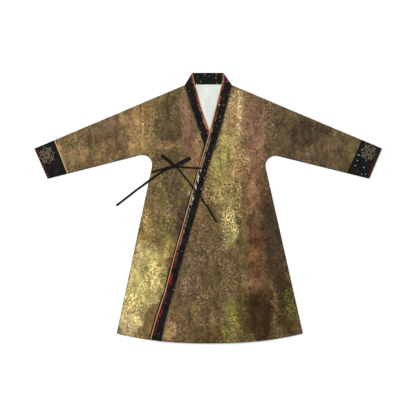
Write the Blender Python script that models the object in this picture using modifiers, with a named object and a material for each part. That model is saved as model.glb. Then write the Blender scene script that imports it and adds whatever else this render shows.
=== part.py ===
"""Hanfu robe with a crossed collar, laid flat, front up.

+X is the wearer's left, +Y runs to the collar, +Z is up. The robe lies on z = 0, with the middle of its
outline at the origin. Lengths are in metres. Each cloth piece is an open surface worked out from its
sizes and given its wall by Solidify. Pieces stand SEAM apart where they are sewn together.
"""

import math
from collections import namedtuple

import bpy
from mathutils import Vector

NAME = "hanfu_robe"

# Cloth
CLOTH = 0.0012
LINING_CLOTH = 0.0010
BAND_CLOTH = 0.0018
BACK_BAND_CLOTH = 0.0024
CUFF_CLOTH = 0.0015
TIE_CLOTH = 0.0014
SEAM = 0.0003

# Heights of the undersides of the layers
SEAM_HEIGHT = CLOTH + SEAM
UNDER_HEIGHT = 0.0028
OVER_HEIGHT = 0.0050
EDGE_SETTLE = 0.040
STEP_START = 0.012
STEP_WIDTH = 0.045

# Body
NECK_SEAM_Y = 0.5190
NECK_POINT_Y = 0.5164
COLLAR_TOP_Y = 0.5685
ARMHOLE_TOP_Y = 0.4403
HEM_LOW = Vector((0.0071, -0.5685))
HEM_RISE = 0.0412
HEM_HALF_WIDTH = 0.391
HEM_POWER = 2.3
HEM_BLEND = 4.0
BACK_HEM_INSET = 0.0015
ARMPIT_RADIUS = 0.0415
ARMHOLE_SETTLE = 0.030
FRONT_START = 0.004

# How many steps each surface is worked out in
SHOULDER_STEPS = 4
ARMHOLE_STEPS = 5
ARMPIT_STEPS = 5
SIDE_SEAM_STEPS = 14
BACK_COLUMNS = 16
FRONT_RIGHT_COLUMNS = 14
FRONT_LEFT_COLUMNS = 18
BAND_COLUMNS = 3
BACK_BAND_STEPS = (3, 8)
LINING_STEPS = (8, 5)
SLEEVE_STEPS = (14, 8)
CUFF_STEPS = (5, 6)
FOLD_STEPS = 4
LOOP_RUN_STEPS = 6
LOOP_TURN_STEPS = 6
SHARP_ANGLE = math.radians(40)

# Sleeves and cuffs
ARMHOLE_GAP = 0.0008
SLEEVE_THICK = 0.0040
CUFF_THICK = 0.0046
SLEEVE_RIDGE = 0.0010

# Collar
EDGING_WIDTH = 0.0052
EDGING_DROP = 0.0002
LINING_TUCK = 0.018
LINING_LOW_Y = 0.300

# One row for each side of the robe: x is negative on the wearer's right
Side = namedtuple("Side", "sign neck collar_top cuff_top cuff_low cuff_top_length cuff_low_length armpit hem")
RIGHT = Side(-1, Vector((-0.0987, NECK_POINT_Y)), Vector((-0.0663, COLLAR_TOP_Y)),
             Vector((-0.7304, 0.2501)), Vector((-0.6741, 0.1229)), 0.0903, 0.0852,
             Vector((-0.2222, 0.2384)), Vector((-0.3839, -0.5273)))
LEFT = Side(1, Vector((0.1000, NECK_POINT_Y)), Vector((0.0635, COLLAR_TOP_Y)),
            Vector((0.7304, 0.2505)), Vector((0.6766, 0.1233)), 0.0913, 0.0940,
            Vector((0.2272, 0.2346)), Vector((0.3982, -0.5273)))

# Collar bands: height on the robe, x of the seam to the front, x of the free edge
CollarRow = namedtuple("CollarRow", "y seam_x edge_x")
UNDER_COLLAR = (
    CollarRow(0.5164, -0.0987, -0.0530),
    CollarRow(0.4180, -0.0685, -0.0262),
    CollarRow(0.3110, -0.0312, 0.0117),
    CollarRow(0.1640, 0.0150, 0.0560),
    CollarRow(-0.0040, 0.0545, 0.0970),
    CollarRow(-0.1800, 0.1060, 0.1470),
    CollarRow(-0.3520, 0.1530, 0.1930),
    CollarRow(-0.5600, 0.2090, 0.2560),
)
OVER_COLLAR = (
    CollarRow(0.5164, 0.1000, 0.0560),
    CollarRow(0.4180, 0.0756, 0.0305),
    CollarRow(0.3110, 0.0458, 0.0035),
    CollarRow(0.1640, -0.0020, -0.0400),
    CollarRow(-0.0040, -0.0455, -0.0876),
    CollarRow(-0.1800, -0.0970, -0.1378),
    CollarRow(-0.3520, -0.1441, -0.1830),
    CollarRow(-0.4700, -0.1777, -0.2213),
    CollarRow(-0.5600, -0.1957, -0.2465),
)

# Soft ridges in the fronts: middle, heading from +X in degrees, half length, half width, height
Ridge = namedtuple("Ridge", "x y heading half_length half_width height")
RIGHT_RIDGES = (
    Ridge(-0.235, -0.130, 80, 0.170, 0.030, 0.0010),
    Ridge(-0.290, -0.400, 74, 0.120, 0.028, 0.0008),
)
LEFT_RIDGES = (
    Ridge(0.278, -0.405, -46, 0.080, 0.026, 0.0012),
    Ridge(0.225, -0.060, -82, 0.160, 0.030, 0.0010),
    Ridge(0.060, -0.330, -88, 0.150, 0.034, 0.0008),
    Ridge(0.150, 0.330, -60, 0.070, 0.026, 0.0008),
)

# Ties: each point of a route has its place on the robe and the height of the strap's underside
TIE_WIDTH = 0.0090
COLLAR_TIE_WIDTH = 0.0078
ROUTE_STEP = 0.011
SIDE_BASE = ((-0.2360, 0.1500, 0.0031), (-0.2180, 0.1555, 0.0040), (-0.1950, 0.1625, 0.0044),
             (-0.1560, 0.1740, 0.0044))
SIDE_END = ((-0.1560, 0.1700, 0.0062), (-0.1720, 0.1625, 0.0062), (-0.1900, 0.1540, 0.0060),
            (-0.2080, 0.1425, 0.0046), (-0.2250, 0.1310, 0.0042), (-0.2420, 0.1190, 0.0038),
            (-0.2560, 0.1090, 0.0032), (-0.2760, 0.0940, 0.0006), (-0.3000, 0.0765, 0.0003),
            (-0.3430, 0.0430, 0.0003), (-0.3862, 0.0100, 0.0003))
COLLAR_BASE = ((-0.0290, 0.1668, 0.0071), (-0.0400, 0.1672, 0.0071), (-0.0500, 0.1677, 0.0062),
               (-0.0650, 0.1684, 0.0045), (-0.1000, 0.1705, 0.0044), (-0.1235, 0.1730, 0.0044))
COLLAR_END = ((-0.1260, 0.1650, 0.0064), (-0.1150, 0.1525, 0.0060), (-0.1000, 0.1330, 0.0044),
              (-0.0800, 0.1090, 0.0046), (-0.0660, 0.0900, 0.0066), (-0.0560, 0.0770, 0.0072),
              (-0.0400, 0.0560, 0.0072), (-0.0270, 0.0380, 0.0068), (-0.0080, 0.0120, 0.0066),
              (0.0150, -0.0240, 0.0066), (0.0350, -0.0610, 0.0066))

# Loops of the bow: places of the start, the fold and the end, the strap's width and its underside there
Loop = namedtuple("Loop", "start tip end width start_z low_z high_z end_z")
SIDE_LOOP = Loop(Vector((-0.1499, 0.1855)), Vector((-0.1953, 0.2224)), Vector((-0.1482, 0.1874)),
                 0.0125, 0.0044, 0.0044, 0.0078, 0.0080)
COLLAR_LOOP = Loop(Vector((-0.1276, 0.1832)), Vector((-0.0752, 0.2102)), Vector((-0.1262, 0.1805)),
                   0.0140, 0.0064, 0.0046, 0.0080, 0.0092)
KNOT_MIDDLE = Vector((-0.1400, 0.1768, 0.0076))
KNOT_HALF = Vector((0.0125, 0.0082, 0.0032))
KNOT_TURN = math.radians(20)
KNOT_ROUND = 0.0022
KNOT_ROUND_STEPS = 3

PRINT_COLOUR = (0.190, 0.125, 0.055, 1.0)
BAND_COLOUR = (0.012, 0.012, 0.014, 1.0)
EDGING_COLOUR = (0.420, 0.290, 0.150, 1.0)
LINING_COLOUR = (0.830, 0.840, 0.800, 1.0)
TIE_COLOUR = (0.010, 0.008, 0.009, 1.0)
CLOTH_ROUGHNESS = 0.85


def clear_scene():
    for obj in list(bpy.data.objects):
        bpy.data.objects.remove(obj)


def smooth_step(value):
    t = min(max(value, 0.0), 1.0)
    return t * t * (3 - 2 * t)


def spread(first, last, count):
    """count + 1 even values from first to last."""
    return [first + (last - first) * i / count for i in range(count + 1)]


def cubic(keys, values, key):
    """Smooth curve through (key, value) pairs with falling keys, straight past the ends."""
    slopes = []
    for i in range(len(keys)):
        a = max(i - 1, 0)
        b = min(i + 1, len(keys) - 1)
        slopes.append((values[b] - values[a]) / (keys[b] - keys[a]))
    if key >= keys[0]:
        return values[0] + slopes[0] * (key - keys[0])
    if key <= keys[-1]:
        return values[-1] + slopes[-1] * (key - keys[-1])
    i = next(n for n in range(len(keys) - 1) if key >= keys[n + 1])
    step = keys[i + 1] - keys[i]
    t = (key - keys[i]) / step
    return ((2 * t**3 - 3 * t**2 + 1) * values[i] + (t**3 - 2 * t**2 + t) * step * slopes[i]
            + (3 * t**2 - 2 * t**3) * values[i + 1] + (t**3 - t**2) * step * slopes[i + 1])


def collar_seam_x(rows, y):
    return cubic([r.y for r in rows], [r.seam_x for r in rows], y)


def collar_edge_x(rows, y):
    return cubic([r.y for r in rows], [r.edge_x for r in rows], y)


def hem_y(x):
    """Height of the hem's curve, lowest in the middle."""
    share = abs(x - HEM_LOW.x) / HEM_HALF_WIDTH
    return HEM_LOW.y + HEM_RISE * share**HEM_POWER


def shoulder_x(side, y):
    slope = (side.cuff_top - side.neck)
    return side.neck.x + slope.x / slope.y * (y - side.neck.y)


def armpit_arc(side):
    """Middle and the two ends of the round corner between the sleeve's underside and the side seam."""
    along_sleeve = (side.cuff_low - side.armpit).normalized()
    along_seam = (side.hem - side.armpit).normalized()
    half = along_sleeve.angle(along_seam) / 2
    reach = ARMPIT_RADIUS / math.tan(half)
    middle = side.armpit + (along_sleeve + along_seam).normalized() * ARMPIT_RADIUS / math.sin(half)
    return middle, side.armpit + along_sleeve * reach, side.armpit + along_seam * reach


def underarm_y(side, x):
    """Lower edge of the sleeve at x."""
    middle, on_sleeve, _ = armpit_arc(side)
    if abs(x) < abs(on_sleeve.x):
        return middle.y + math.sqrt(ARMPIT_RADIUS**2 - (x - middle.x)**2)
    slope = side.cuff_low - side.armpit
    return side.armpit.y + slope.y / slope.x * (x - side.armpit.x)


def side_edge(side):
    """Points down the side of the body: shoulder, armhole, armpit and side seam."""
    points = [Vector((shoulder_x(side, y), y)) for y in spread(NECK_SEAM_Y, ARMHOLE_TOP_Y, SHOULDER_STEPS)]
    armhole_x = points[-1].x
    low = underarm_y(side, armhole_x)
    points += [Vector((armhole_x, y)) for y in spread(ARMHOLE_TOP_Y, low, ARMHOLE_STEPS)[1:]]
    middle, _, on_seam = armpit_arc(side)
    start = math.atan2(low - middle.y, (armhole_x - middle.x) * -side.sign)
    end = math.atan2(on_seam.y - middle.y, (on_seam.x - middle.x) * -side.sign)
    for angle in spread(start, end, ARMPIT_STEPS)[1:]:
        away = Vector((math.cos(angle) * -side.sign, math.sin(angle))) * ARMPIT_RADIUS
        points.append(middle + away)
    points += [on_seam.lerp(side.hem, t) for t in spread(0, 1, SIDE_SEAM_STEPS)[1:]]
    return points


def ridge_height(ridges, x, y):
    height = 0.0
    for r in ridges:
        heading = math.radians(r.heading)
        dx, dy = x - r.x, y - r.y
        along = (dx * math.cos(heading) + dy * math.sin(heading)) / r.half_length
        across = (dy * math.cos(heading) - dx * math.sin(heading)) / r.half_width
        if abs(along) < 1 and abs(across) < 1:
            height += r.height * (1 - along**2)**2 * (1 - across**2)**2
    return height


def seam_height(y):
    """The front lies on the back at the shoulder and the side seam, and opens a little at the armhole."""
    top = smooth_step((ARMHOLE_TOP_Y + ARMHOLE_SETTLE - y) / ARMHOLE_SETTLE)
    low = smooth_step((y - RIGHT.armpit.y + 2 * ARMHOLE_SETTLE) / ARMHOLE_SETTLE)
    return SEAM_HEIGHT + (UNDER_HEIGHT - SEAM_HEIGHT) * top * low


def over_height(x, y):
    """What lies over the right front and its collar stands a step higher there."""
    past = x - collar_edge_x(UNDER_COLLAR, y) - STEP_START
    return UNDER_HEIGHT + (OVER_HEIGHT - UNDER_HEIGHT) * smooth_step(1 - past / STEP_WIDTH)


def front_height(resting, x, y, edge_x):
    low = seam_height(y)
    return low + (resting - low) * smooth_step(abs(x - edge_x) / EDGE_SETTLE)


def material(name, colour):
    mat = bpy.data.materials.new(name)
    mat.use_nodes = True
    shader = mat.node_tree.nodes["Principled BSDF"]
    shader.inputs["Base Color"].default_value = colour
    shader.inputs["Roughness"].default_value = CLOTH_ROUGHNESS
    shader.inputs["Metallic"].default_value = 0.0
    return mat


def add_piece(name, mesh, colour):
    obj = bpy.data.objects.new(name, mesh)
    mesh.materials.append(material(name, colour))
    bpy.data.collections[NAME].objects.link(obj)
    mesh.shade_smooth()
    mesh.set_sharp_from_angle(angle=SHARP_ANGLE)
    return obj


def add_wall(obj, thickness, offset):
    wall = obj.modifiers.new("wall", "SOLIDIFY")
    wall.thickness = thickness
    wall.offset = offset
    wall.use_even_offset = True
    wall.use_rim = True


def add_sheet(name, grid, thickness, colour, offset=1):
    """Cloth from rows of points on its underside, rows going to -Y and points to +X.

    With offset 0 the points are in the middle of the wall.
    """
    columns = len(grid[0])
    verts = [point for row in grid for point in row]
    faces = []
    for r in range(len(grid) - 1):
        for c in range(columns - 1):
            a = r * columns + c
            faces.append((a, a + columns, a + columns + 1, a + 1))
    mesh = bpy.data.meshes.new(name)
    mesh.from_pydata(verts, [], faces)
    obj = add_piece(name, mesh, colour)
    add_wall(obj, thickness, offset)


def body_grid(left_points, right_points, columns, height, hem_inset=0.0):
    """Rows between two edges, the last ones bent to the hem's curve."""
    grid = []
    corner_l, corner_r = left_points[-1], right_points[-1]
    for r, (a, b) in enumerate(zip(left_points, right_points)):
        bend = (r / (len(left_points) - 1))**HEM_BLEND
        row = []
        for share in spread(0, 1, columns):
            place = a.lerp(b, share)
            low = corner_l.lerp(corner_r, share)
            y = place.y + (hem_y(low.x) + hem_inset - low.y) * bend
            row.append((place.x, y, height(place.x, y)))
        grid.append(row)
    return grid


def make_back():
    grid = body_grid(side_edge(RIGHT), side_edge(LEFT), BACK_COLUMNS, lambda x, y: 0.0, BACK_HEM_INSET)
    add_sheet("back", grid, CLOTH, PRINT_COLOUR)


def collar_line(rows, side_points, gap):
    """The collar's seam, one point beside each point of the body's side, moved by gap into the front."""
    points = []
    hem_share = [(r / (len(side_points) - 1))**HEM_BLEND for r in range(len(side_points))]
    for point, share in zip(side_points, hem_share):
        y = min(point.y, NECK_POINT_Y - SEAM)
        drop = hem_y(collar_seam_x(rows, y)) - side_points[-1].y
        y += drop * share
        points.append(Vector((collar_seam_x(rows, y) + gap, y)))
    return points


def front_side(side):
    """The side of a front, from just below the neck point."""
    points = side_edge(side)
    start_y = NECK_POINT_Y - FRONT_START
    points[0] = Vector((shoulder_x(side, start_y), start_y))
    return points


def make_front_right():
    outer = front_side(RIGHT)
    inner = collar_line(UNDER_COLLAR, outer, -SEAM)

    def height(x, y):
        near = min(outer, key=lambda p: abs(p.y - y))
        base = front_height(UNDER_HEIGHT, x, y, near.x)
        return base + ridge_height(RIGHT_RIDGES, x, y)

    grid = body_grid(outer, inner, FRONT_RIGHT_COLUMNS, height)
    add_sheet("front_right", grid, CLOTH, PRINT_COLOUR)


def make_front_left():
    outer = front_side(LEFT)
    inner = collar_line(OVER_COLLAR, outer, SEAM)

    def height(x, y):
        near = min(outer, key=lambda p: abs(p.y - y))
        base = front_height(over_height(x, y), x, y, near.x)
        return base + ridge_height(LEFT_RIDGES, x, y)

    grid = body_grid(inner, outer, FRONT_LEFT_COLUMNS, height)
    add_sheet("front_left", grid, CLOTH, PRINT_COLOUR)


def make_lining():
    rows, columns = LINING_STEPS
    grid = []
    for y in spread(NECK_SEAM_Y - SEAM, LINING_LOW_Y, rows):
        left_x = collar_edge_x(UNDER_COLLAR, y) - LINING_TUCK
        right_x = collar_edge_x(OVER_COLLAR, y) + LINING_TUCK
        grid.append([(x, y, SEAM_HEIGHT) for x in spread(left_x, right_x, columns)])
    add_sheet("lining_back", grid, LINING_CLOTH, LINING_COLOUR)


def make_collar_back():
    top_y = COLLAR_TOP_Y
    low_y = NECK_SEAM_Y + SEAM
    rows, columns = BACK_BAND_STEPS
    grid = []
    for y in spread(top_y, low_y, rows):
        share = (top_y - y) / (top_y - NECK_POINT_Y)
        a = RIGHT.collar_top.lerp(RIGHT.neck, share).x
        b = LEFT.collar_top.lerp(LEFT.neck, share).x
        grid.append([(x, y, 0.0) for x in spread(a, b, columns)])
    add_sheet("collar_back", grid, BACK_BAND_CLOTH, BAND_COLOUR)


def collar_sections(rows, side):
    """Seam point and free edge point of each section of a front collar band, fold to hem."""
    hem_edge_x = collar_edge_x(rows, side.hem.y - HEM_RISE / 2)
    seam_points = collar_line(rows, side_edge(side), 0.0)
    last = seam_points[-1]
    sections = [(side.neck, side.collar_top)]
    for seam in seam_points[1:]:
        t = (NECK_POINT_Y - seam.y) / (NECK_POINT_Y - last.y)
        edge_y = COLLAR_TOP_Y + (hem_y(hem_edge_x) - COLLAR_TOP_Y) * t
        sections.append((seam, Vector((collar_edge_x(rows, edge_y), edge_y))))
    return sections


def make_collar(name, edging_name, rows, side, height):
    band_grid = []
    edging_grid = []
    for seam, edge in collar_sections(rows, side):
        width = (edge - seam).length
        band_end = seam.lerp(edge, 1 - (EDGING_WIDTH + SEAM) / width)
        edging_start = seam.lerp(edge, 1 - EDGING_WIDTH / width)
        band = [seam.lerp(band_end, t) for t in spread(0, 1, BAND_COLUMNS)]
        edging = [edging_start, edge]
        if seam.x > edge.x:
            band.reverse()
            edging.reverse()
        band_grid.append([(p.x, p.y, height(p.x, p.y)) for p in band])
        edging_grid.append([(p.x, p.y, height(p.x, p.y)) for p in edging])
    add_sheet(name, band_grid, BAND_CLOTH, BAND_COLOUR)
    add_sheet(edging_name, edging_grid, BAND_CLOTH - EDGING_DROP, EDGING_COLOUR)


def tube_ring(top, low, thick, rise, columns):
    """A flattened ring between two edges: flat below, raised a little above, round at both folds."""
    fold = thick / 2
    width = (low - top).length
    across = (low - top) / width
    ring = []
    for d in spread(fold, width - fold, columns):
        lift = rise * math.sin(math.pi * (d - fold) / (width - 2 * fold))**2
        ring.append((*(top + across * d), thick + lift))
    for angle in spread(math.pi / 2, -math.pi / 2, FOLD_STEPS)[1:-1]:
        out = across * (width - fold + fold * math.cos(angle))
        ring.append((*(top + out), fold + fold * math.sin(angle)))
    for d in spread(width - fold, fold, columns):
        ring.append((*(top + across * d), 0.0))
    for angle in spread(-math.pi / 2, -3 * math.pi / 2, FOLD_STEPS)[1:-1]:
        out = across * (fold + fold * math.cos(angle))
        ring.append((*(top + out), fold + fold * math.sin(angle)))
    return ring


def add_tube(name, rings, thickness, colour, flip):
    count = len(rings[0])
    verts = [point for ring in rings for point in ring]
    faces = []
    for r in range(len(rings) - 1):
        for c in range(count):
            a = r * count + c
            b = r * count + (c + 1) % count
            face = (a, b, b + count, a + count)
            faces.append(face[::-1] if flip else face)
    mesh = bpy.data.meshes.new(name)
    mesh.from_pydata(verts, [], faces)
    obj = add_piece(name, mesh, colour)
    add_wall(obj, thickness, -1)


def cuff_seam(side):
    """Upper and lower end of the seam between sleeve and cuff."""
    up = (side.neck - side.cuff_top).normalized()
    under = (side.armpit - side.cuff_low).normalized()
    return side.cuff_top + up * side.cuff_top_length, side.cuff_low + under * side.cuff_low_length


def make_sleeve(name, side):
    top_seam, low_seam = cuff_seam(side)
    start_x = shoulder_x(side, ARMHOLE_TOP_Y) + side.sign * ARMHOLE_GAP
    start_top = Vector((start_x, ARMHOLE_TOP_Y))
    lengths, columns = SLEEVE_STEPS
    rings = []
    for t in spread(0, 1, lengths):
        top = start_top.lerp(top_seam, t)
        low_x = start_x + (low_seam.x - start_x) * t
        low = Vector((low_x, underarm_y(side, low_x)))
        rise = SLEEVE_RIDGE * math.sin(math.pi * t)
        rings.append(tube_ring(top, low, SLEEVE_THICK, rise, columns))
    add_tube(name, rings, CLOTH, PRINT_COLOUR, side.sign < 0)


def make_cuff(name, side):
    top_seam, low_seam = cuff_seam(side)
    top_start = top_seam + (side.cuff_top - side.neck).normalized() * SEAM
    low_start = low_seam + (side.cuff_low - side.armpit).normalized() * SEAM
    lengths, columns = CUFF_STEPS
    rings = []
    for t in spread(0, 1, lengths):
        top = top_start.lerp(side.cuff_top, t)
        low = low_start.lerp(side.cuff_low, t)
        rings.append(tube_ring(top, low, CUFF_THICK, 0.0, columns))
    add_tube(name, rings, CUFF_CLOTH, BAND_COLOUR, side.sign < 0)


def smooth_route(route):
    """Points about ROUTE_STEP apart on a smooth curve through a route's points."""
    points = [Vector(p) for p in route]
    line = []
    for i in range(len(points) - 1):
        before = points[max(i - 1, 0)]
        a, b = points[i], points[i + 1]
        after = points[min(i + 2, len(points) - 1)]
        steps = max(2, round((b - a).length / ROUTE_STEP))
        for n in range(steps):
            t = n / steps
            line.append(0.5 * (2 * a + (b - before) * t + (2 * before - 5 * a + 4 * b - after) * t**2
                               + (3 * a - before - 3 * b + after) * t**3))
    line.append(points[-1])
    return line


def loop_line(loop):
    """Points along a loop: out below, round the fold, back above."""
    radius = (loop.high_z - loop.low_z) / 2
    out = (loop.tip - loop.start).normalized()
    turn = loop.tip - out * radius
    line = []
    for t in spread(0, 1, LOOP_RUN_STEPS)[:-1]:
        z = loop.start_z + (loop.low_z - loop.start_z) * smooth_step(t)
        line.append(Vector((*loop.start.lerp(turn, t), z)))
    for angle in spread(-math.pi / 2, math.pi / 2, LOOP_TURN_STEPS):
        z = loop.low_z + radius * (1 + math.sin(angle))
        line.append(Vector((*(turn + out * radius * math.cos(angle)), z)))
    for t in spread(0, 1, LOOP_RUN_STEPS)[1:]:
        z = loop.high_z + (loop.end_z - loop.high_z) * smooth_step(t)
        line.append(Vector((*turn.lerp(loop.end, t), z)))
    return line


def make_strap(name, line, width):
    """A flat strap whose underside follows a line of points."""
    heading = (line[1] - line[0]).to_2d().normalized()
    half = Vector((-heading.y, heading.x, 0)) * width / 2
    grid = []
    for i, point in enumerate(line):
        step = (line[min(i + 1, len(line) - 1)] - line[max(i - 1, 0)]).to_2d()
        if step.length > TIE_CLOTH:
            step.normalize()
            turned = Vector((-step.y, step.x, 0)) * width / 2
            half = turned if turned.dot(half) > 0 else -turned
        middle = point + Vector((0, 0, TIE_CLOTH / 2))
        grid.append([middle + half, middle - half])
    add_sheet(name, grid, TIE_CLOTH, TIE_COLOUR, 0)


def make_knot():
    bpy.ops.mesh.primitive_cube_add(size=2, location=KNOT_MIDDLE, rotation=(0, 0, KNOT_TURN))
    knot = bpy.context.object
    knot.name = "tie_knot"
    mesh = knot.data
    mesh.name = "tie_knot"
    for vert in mesh.vertices:
        vert.co = Vector(a * b for a, b in zip(vert.co, KNOT_HALF))
    mesh.materials.append(material("tie_knot", TIE_COLOUR))
    rounded = knot.modifiers.new("round", "BEVEL")
    rounded.width = KNOT_ROUND
    rounded.segments = KNOT_ROUND_STEPS
    for collection in list(knot.users_collection):
        collection.objects.unlink(knot)
    bpy.data.collections[NAME].objects.link(knot)


def main():
    clear_scene()
    collection = bpy.data.collections.new(NAME)
    bpy.context.scene.collection.children.link(collection)
    make_back()
    make_lining()
    make_front_right()
    make_front_left()
    make_collar_back()
    make_collar("collar_right", "edging_right", UNDER_COLLAR, RIGHT, lambda x, y: UNDER_HEIGHT)
    make_collar("collar_left", "edging_left", OVER_COLLAR, LEFT, over_height)
    for suffix, side in (("right", RIGHT), ("left", LEFT)):
        make_sleeve(f"sleeve_{suffix}", side)
        make_cuff(f"cuff_{suffix}", side)
    make_strap("tie_side_base", smooth_route(SIDE_BASE), TIE_WIDTH)
    make_strap("tie_side_end", smooth_route(SIDE_END), TIE_WIDTH)
    make_strap("tie_side_loop", loop_line(SIDE_LOOP), SIDE_LOOP.width)
    make_strap("tie_collar_base", smooth_route(COLLAR_BASE), COLLAR_TIE_WIDTH)
    make_strap("tie_collar_end", smooth_route(COLLAR_END), COLLAR_TIE_WIDTH)
    make_strap("tie_collar_loop", loop_line(COLLAR_LOOP), COLLAR_LOOP.width)
    make_knot()


main()
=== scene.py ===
# %% [markdown]
# # A hanfu robe laid flat
#
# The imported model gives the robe's plain solids. This lesson puts the real cloth over them: thin shells
# with soft creases, sewn bands, a tied bow and a printed cloth whose pattern comes from shader nodes.
# Lengths are in metres, +X is the wearer's left, +Y runs to the collar and +Z is up.

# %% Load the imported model
import math
from collections import namedtuple
from functools import cached_property

import bpy
import numpy as np
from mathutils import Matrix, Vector
from mathutils.bvhtree import BVHTree


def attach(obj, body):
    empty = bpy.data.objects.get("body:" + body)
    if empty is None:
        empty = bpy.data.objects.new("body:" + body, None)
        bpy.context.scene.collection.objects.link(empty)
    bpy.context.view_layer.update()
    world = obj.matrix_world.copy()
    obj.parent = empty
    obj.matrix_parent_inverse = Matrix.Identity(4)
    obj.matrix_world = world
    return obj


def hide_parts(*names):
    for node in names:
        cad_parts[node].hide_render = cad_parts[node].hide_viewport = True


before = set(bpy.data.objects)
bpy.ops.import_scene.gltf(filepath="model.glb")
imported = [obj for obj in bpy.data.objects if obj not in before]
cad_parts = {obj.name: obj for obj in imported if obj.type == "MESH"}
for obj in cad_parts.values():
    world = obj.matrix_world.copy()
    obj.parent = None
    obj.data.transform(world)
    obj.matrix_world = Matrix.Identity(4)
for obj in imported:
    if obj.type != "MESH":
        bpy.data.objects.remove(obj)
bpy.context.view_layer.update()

# %% [markdown]
# ## Camera
#
# The robe is seen square from above. A camera close by would show the middle larger than the ends, so
# a long lens stands far off. Its height follows from the width of ground that the picture takes in.

# %% Camera straight above
FRAME_WIDTH = 1.7472
LENS_MM = 100
SENSOR_MM = 36
CLOTH_LEVEL = 0.004
AIM_X, AIM_Y = -0.0004, 0.0002

lens = bpy.data.cameras.new("camera")
lens.lens = LENS_MM
lens.sensor_width = SENSOR_MM
lens.clip_end = 50
camera = bpy.data.objects.new("camera", lens)
camera.location = (AIM_X, AIM_Y, CLOTH_LEVEL + FRAME_WIDTH * LENS_MM / SENSOR_MM)
bpy.context.scene.collection.objects.link(camera)
bpy.context.scene.camera = camera
print("camera height:", round(camera.location.z, 3))

# %% [markdown]
# ## Curves and shells
#
# Sewn cloth is thin and has rounded edges. Each piece starts as a grid of points in the middle of the
# cloth. A second grid above and one below, which meet at the rim, close it to a shell, so that the
# edge shows its real thickness. Working with numpy arrays moves all the points of a piece at once.

# %% Smooth curves
MM_IN_METRE = 1000


def table(row_type, *rows):
    """Rows with named columns, from plain ones."""
    return [row_type(*row) for row in rows]


def metres(millimetres):
    return np.array(millimetres) / MM_IN_METRE


def smooth(value):
    t = np.clip(value, 0.0, 1.0)
    return t * t * (3 - 2 * t)


def curve_through(keys, values, wanted):
    """Smooth curve through (key, value) pairs with falling keys, straight past the ends."""
    keys, values = np.array(keys[::-1]), np.array(values[::-1])
    wanted = np.asarray(wanted, float)
    place = np.arange(len(keys))
    before, after = np.maximum(place - 1, 0), np.minimum(place + 1, len(keys) - 1)
    slopes = (values[after] - values[before]) / (keys[after] - keys[before])
    i = np.clip(np.searchsorted(keys, wanted) - 1, 0, len(keys) - 2)
    step = keys[i + 1] - keys[i]
    t = np.clip((wanted - keys[i]) / step, 0, 1)
    inside = ((2 * t**3 - 3 * t**2 + 1) * values[i] + (t**3 - 2 * t**2 + t) * step * slopes[i]
              + (3 * t**2 - 2 * t**3) * values[i + 1] + (t**3 - t**2) * step * slopes[i + 1])
    above = np.maximum(wanted - keys[-1], 0) * slopes[-1]
    below = np.minimum(wanted - keys[0], 0) * slopes[0]
    return inside + above + below


def evenly(first, last, step):
    return np.linspace(first, last, max(2, round(abs(last - first) / step) + 1))


def lerp(a, b, share):
    return a + (b - a) * np.asarray(share)[..., None]


def unit(vectors):
    """The same directions with length 1."""
    return vectors / np.maximum(np.linalg.norm(vectors, axis=-1, keepdims=True), 1e-12)


def run_length(line):
    """Distance of each point from the start, along a line."""
    return np.concatenate([[0], np.cumsum(np.linalg.norm(np.diff(line, axis=0), axis=1))])


def resample(line, distances):
    """Points of a line at some distances from its start."""
    along = run_length(line)
    return np.column_stack([np.interp(distances, along, column) for column in line.T])


def to_the_left(line):
    """Direction across a flat line at each of its points."""
    heading = unit(np.gradient(line, axis=0))
    return np.column_stack([-heading[:, 1], heading[:, 0]])


def from_ends(place, total):
    return np.minimum(place, total - place)


def least(*distances):
    """The smallest of some distances, point by point."""
    return np.minimum.reduce(np.broadcast_arrays(*distances))


# %% Closed shells
RIM = np.array([0.0, 0.0002, 0.0006, 0.0014, 0.0030])


def rim_shape(distance, reach):
    """0 at the rim, 1 from reach on, round between."""
    share = np.clip(distance / reach, 0, 1)
    return np.sqrt(1 - (1 - share)**2)


def between_rims(length, step, rim=RIM):
    """Distances from one rim to the other: close together at the rims, about step apart between."""
    inner = evenly(rim[-1], length - rim[-1], step)[1:-1]
    return np.concatenate([rim, inner, length - rim[::-1]])


def quads(index):
    """Faces of a grid of point numbers, rows going to -Y and columns to +X, seen from above."""
    return np.stack([index[:-1, :-1], index[1:, :-1], index[1:, 1:], index[:-1, 1:]], axis=-1).reshape(-1, 4)


def make_mesh(name, points, faces, values=None):
    mesh = bpy.data.meshes.new(name)
    mesh.from_pydata(np.asarray(points).tolist(), [], faces)
    mesh.shade_smooth()
    for label, numbers in (values or {}).items():
        attribute = mesh.attributes.new(label, "FLOAT", "POINT")
        attribute.data.foreach_set("value", np.asarray(numbers, np.float32))
    piece = bpy.data.objects.new(name, mesh)
    bpy.context.scene.collection.objects.link(piece)
    return piece


def cut_corners(index, step):
    """A grid's faces. Those at its corners are cut in two, because both layers share their outer points."""
    faces = quads(index)
    columns, last = index.shape[1] - 1, len(faces) - 1
    corners = (0, last, columns - 1, last - columns + 1)
    cut = []
    for n, corner in enumerate(corners):
        a, b, c, d = faces[corner].tolist()
        cut += [(a, b, c), (a, c, d)] if n < 2 else [(a, b, d), (b, c, d)]
    whole = np.delete(faces, corners, axis=0)
    return whole[:, ::step].tolist() + [face[::step] for face in cut]


def shell(name, middle, normals, half, values, inner, faces_of):
    """Closed cloth: an upper and a lower layer of a grid, which share the points that aren't inner ones."""
    upper = np.arange(half.size).reshape(half.shape)
    lower = upper.copy()
    lower[inner] = half.size + np.arange(lower[inner].size).reshape(lower[inner].shape)
    out = normals * half[..., None]
    points = np.concatenate([(middle + out).reshape(-1, 3), (middle - out)[inner].reshape(-1, 3)])
    both = {k: np.concatenate([v.ravel(), v[inner].ravel()]) for k, v in values.items()}
    return make_mesh(name, points, faces_of(upper, 1) + faces_of(lower, -1), both)


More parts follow.
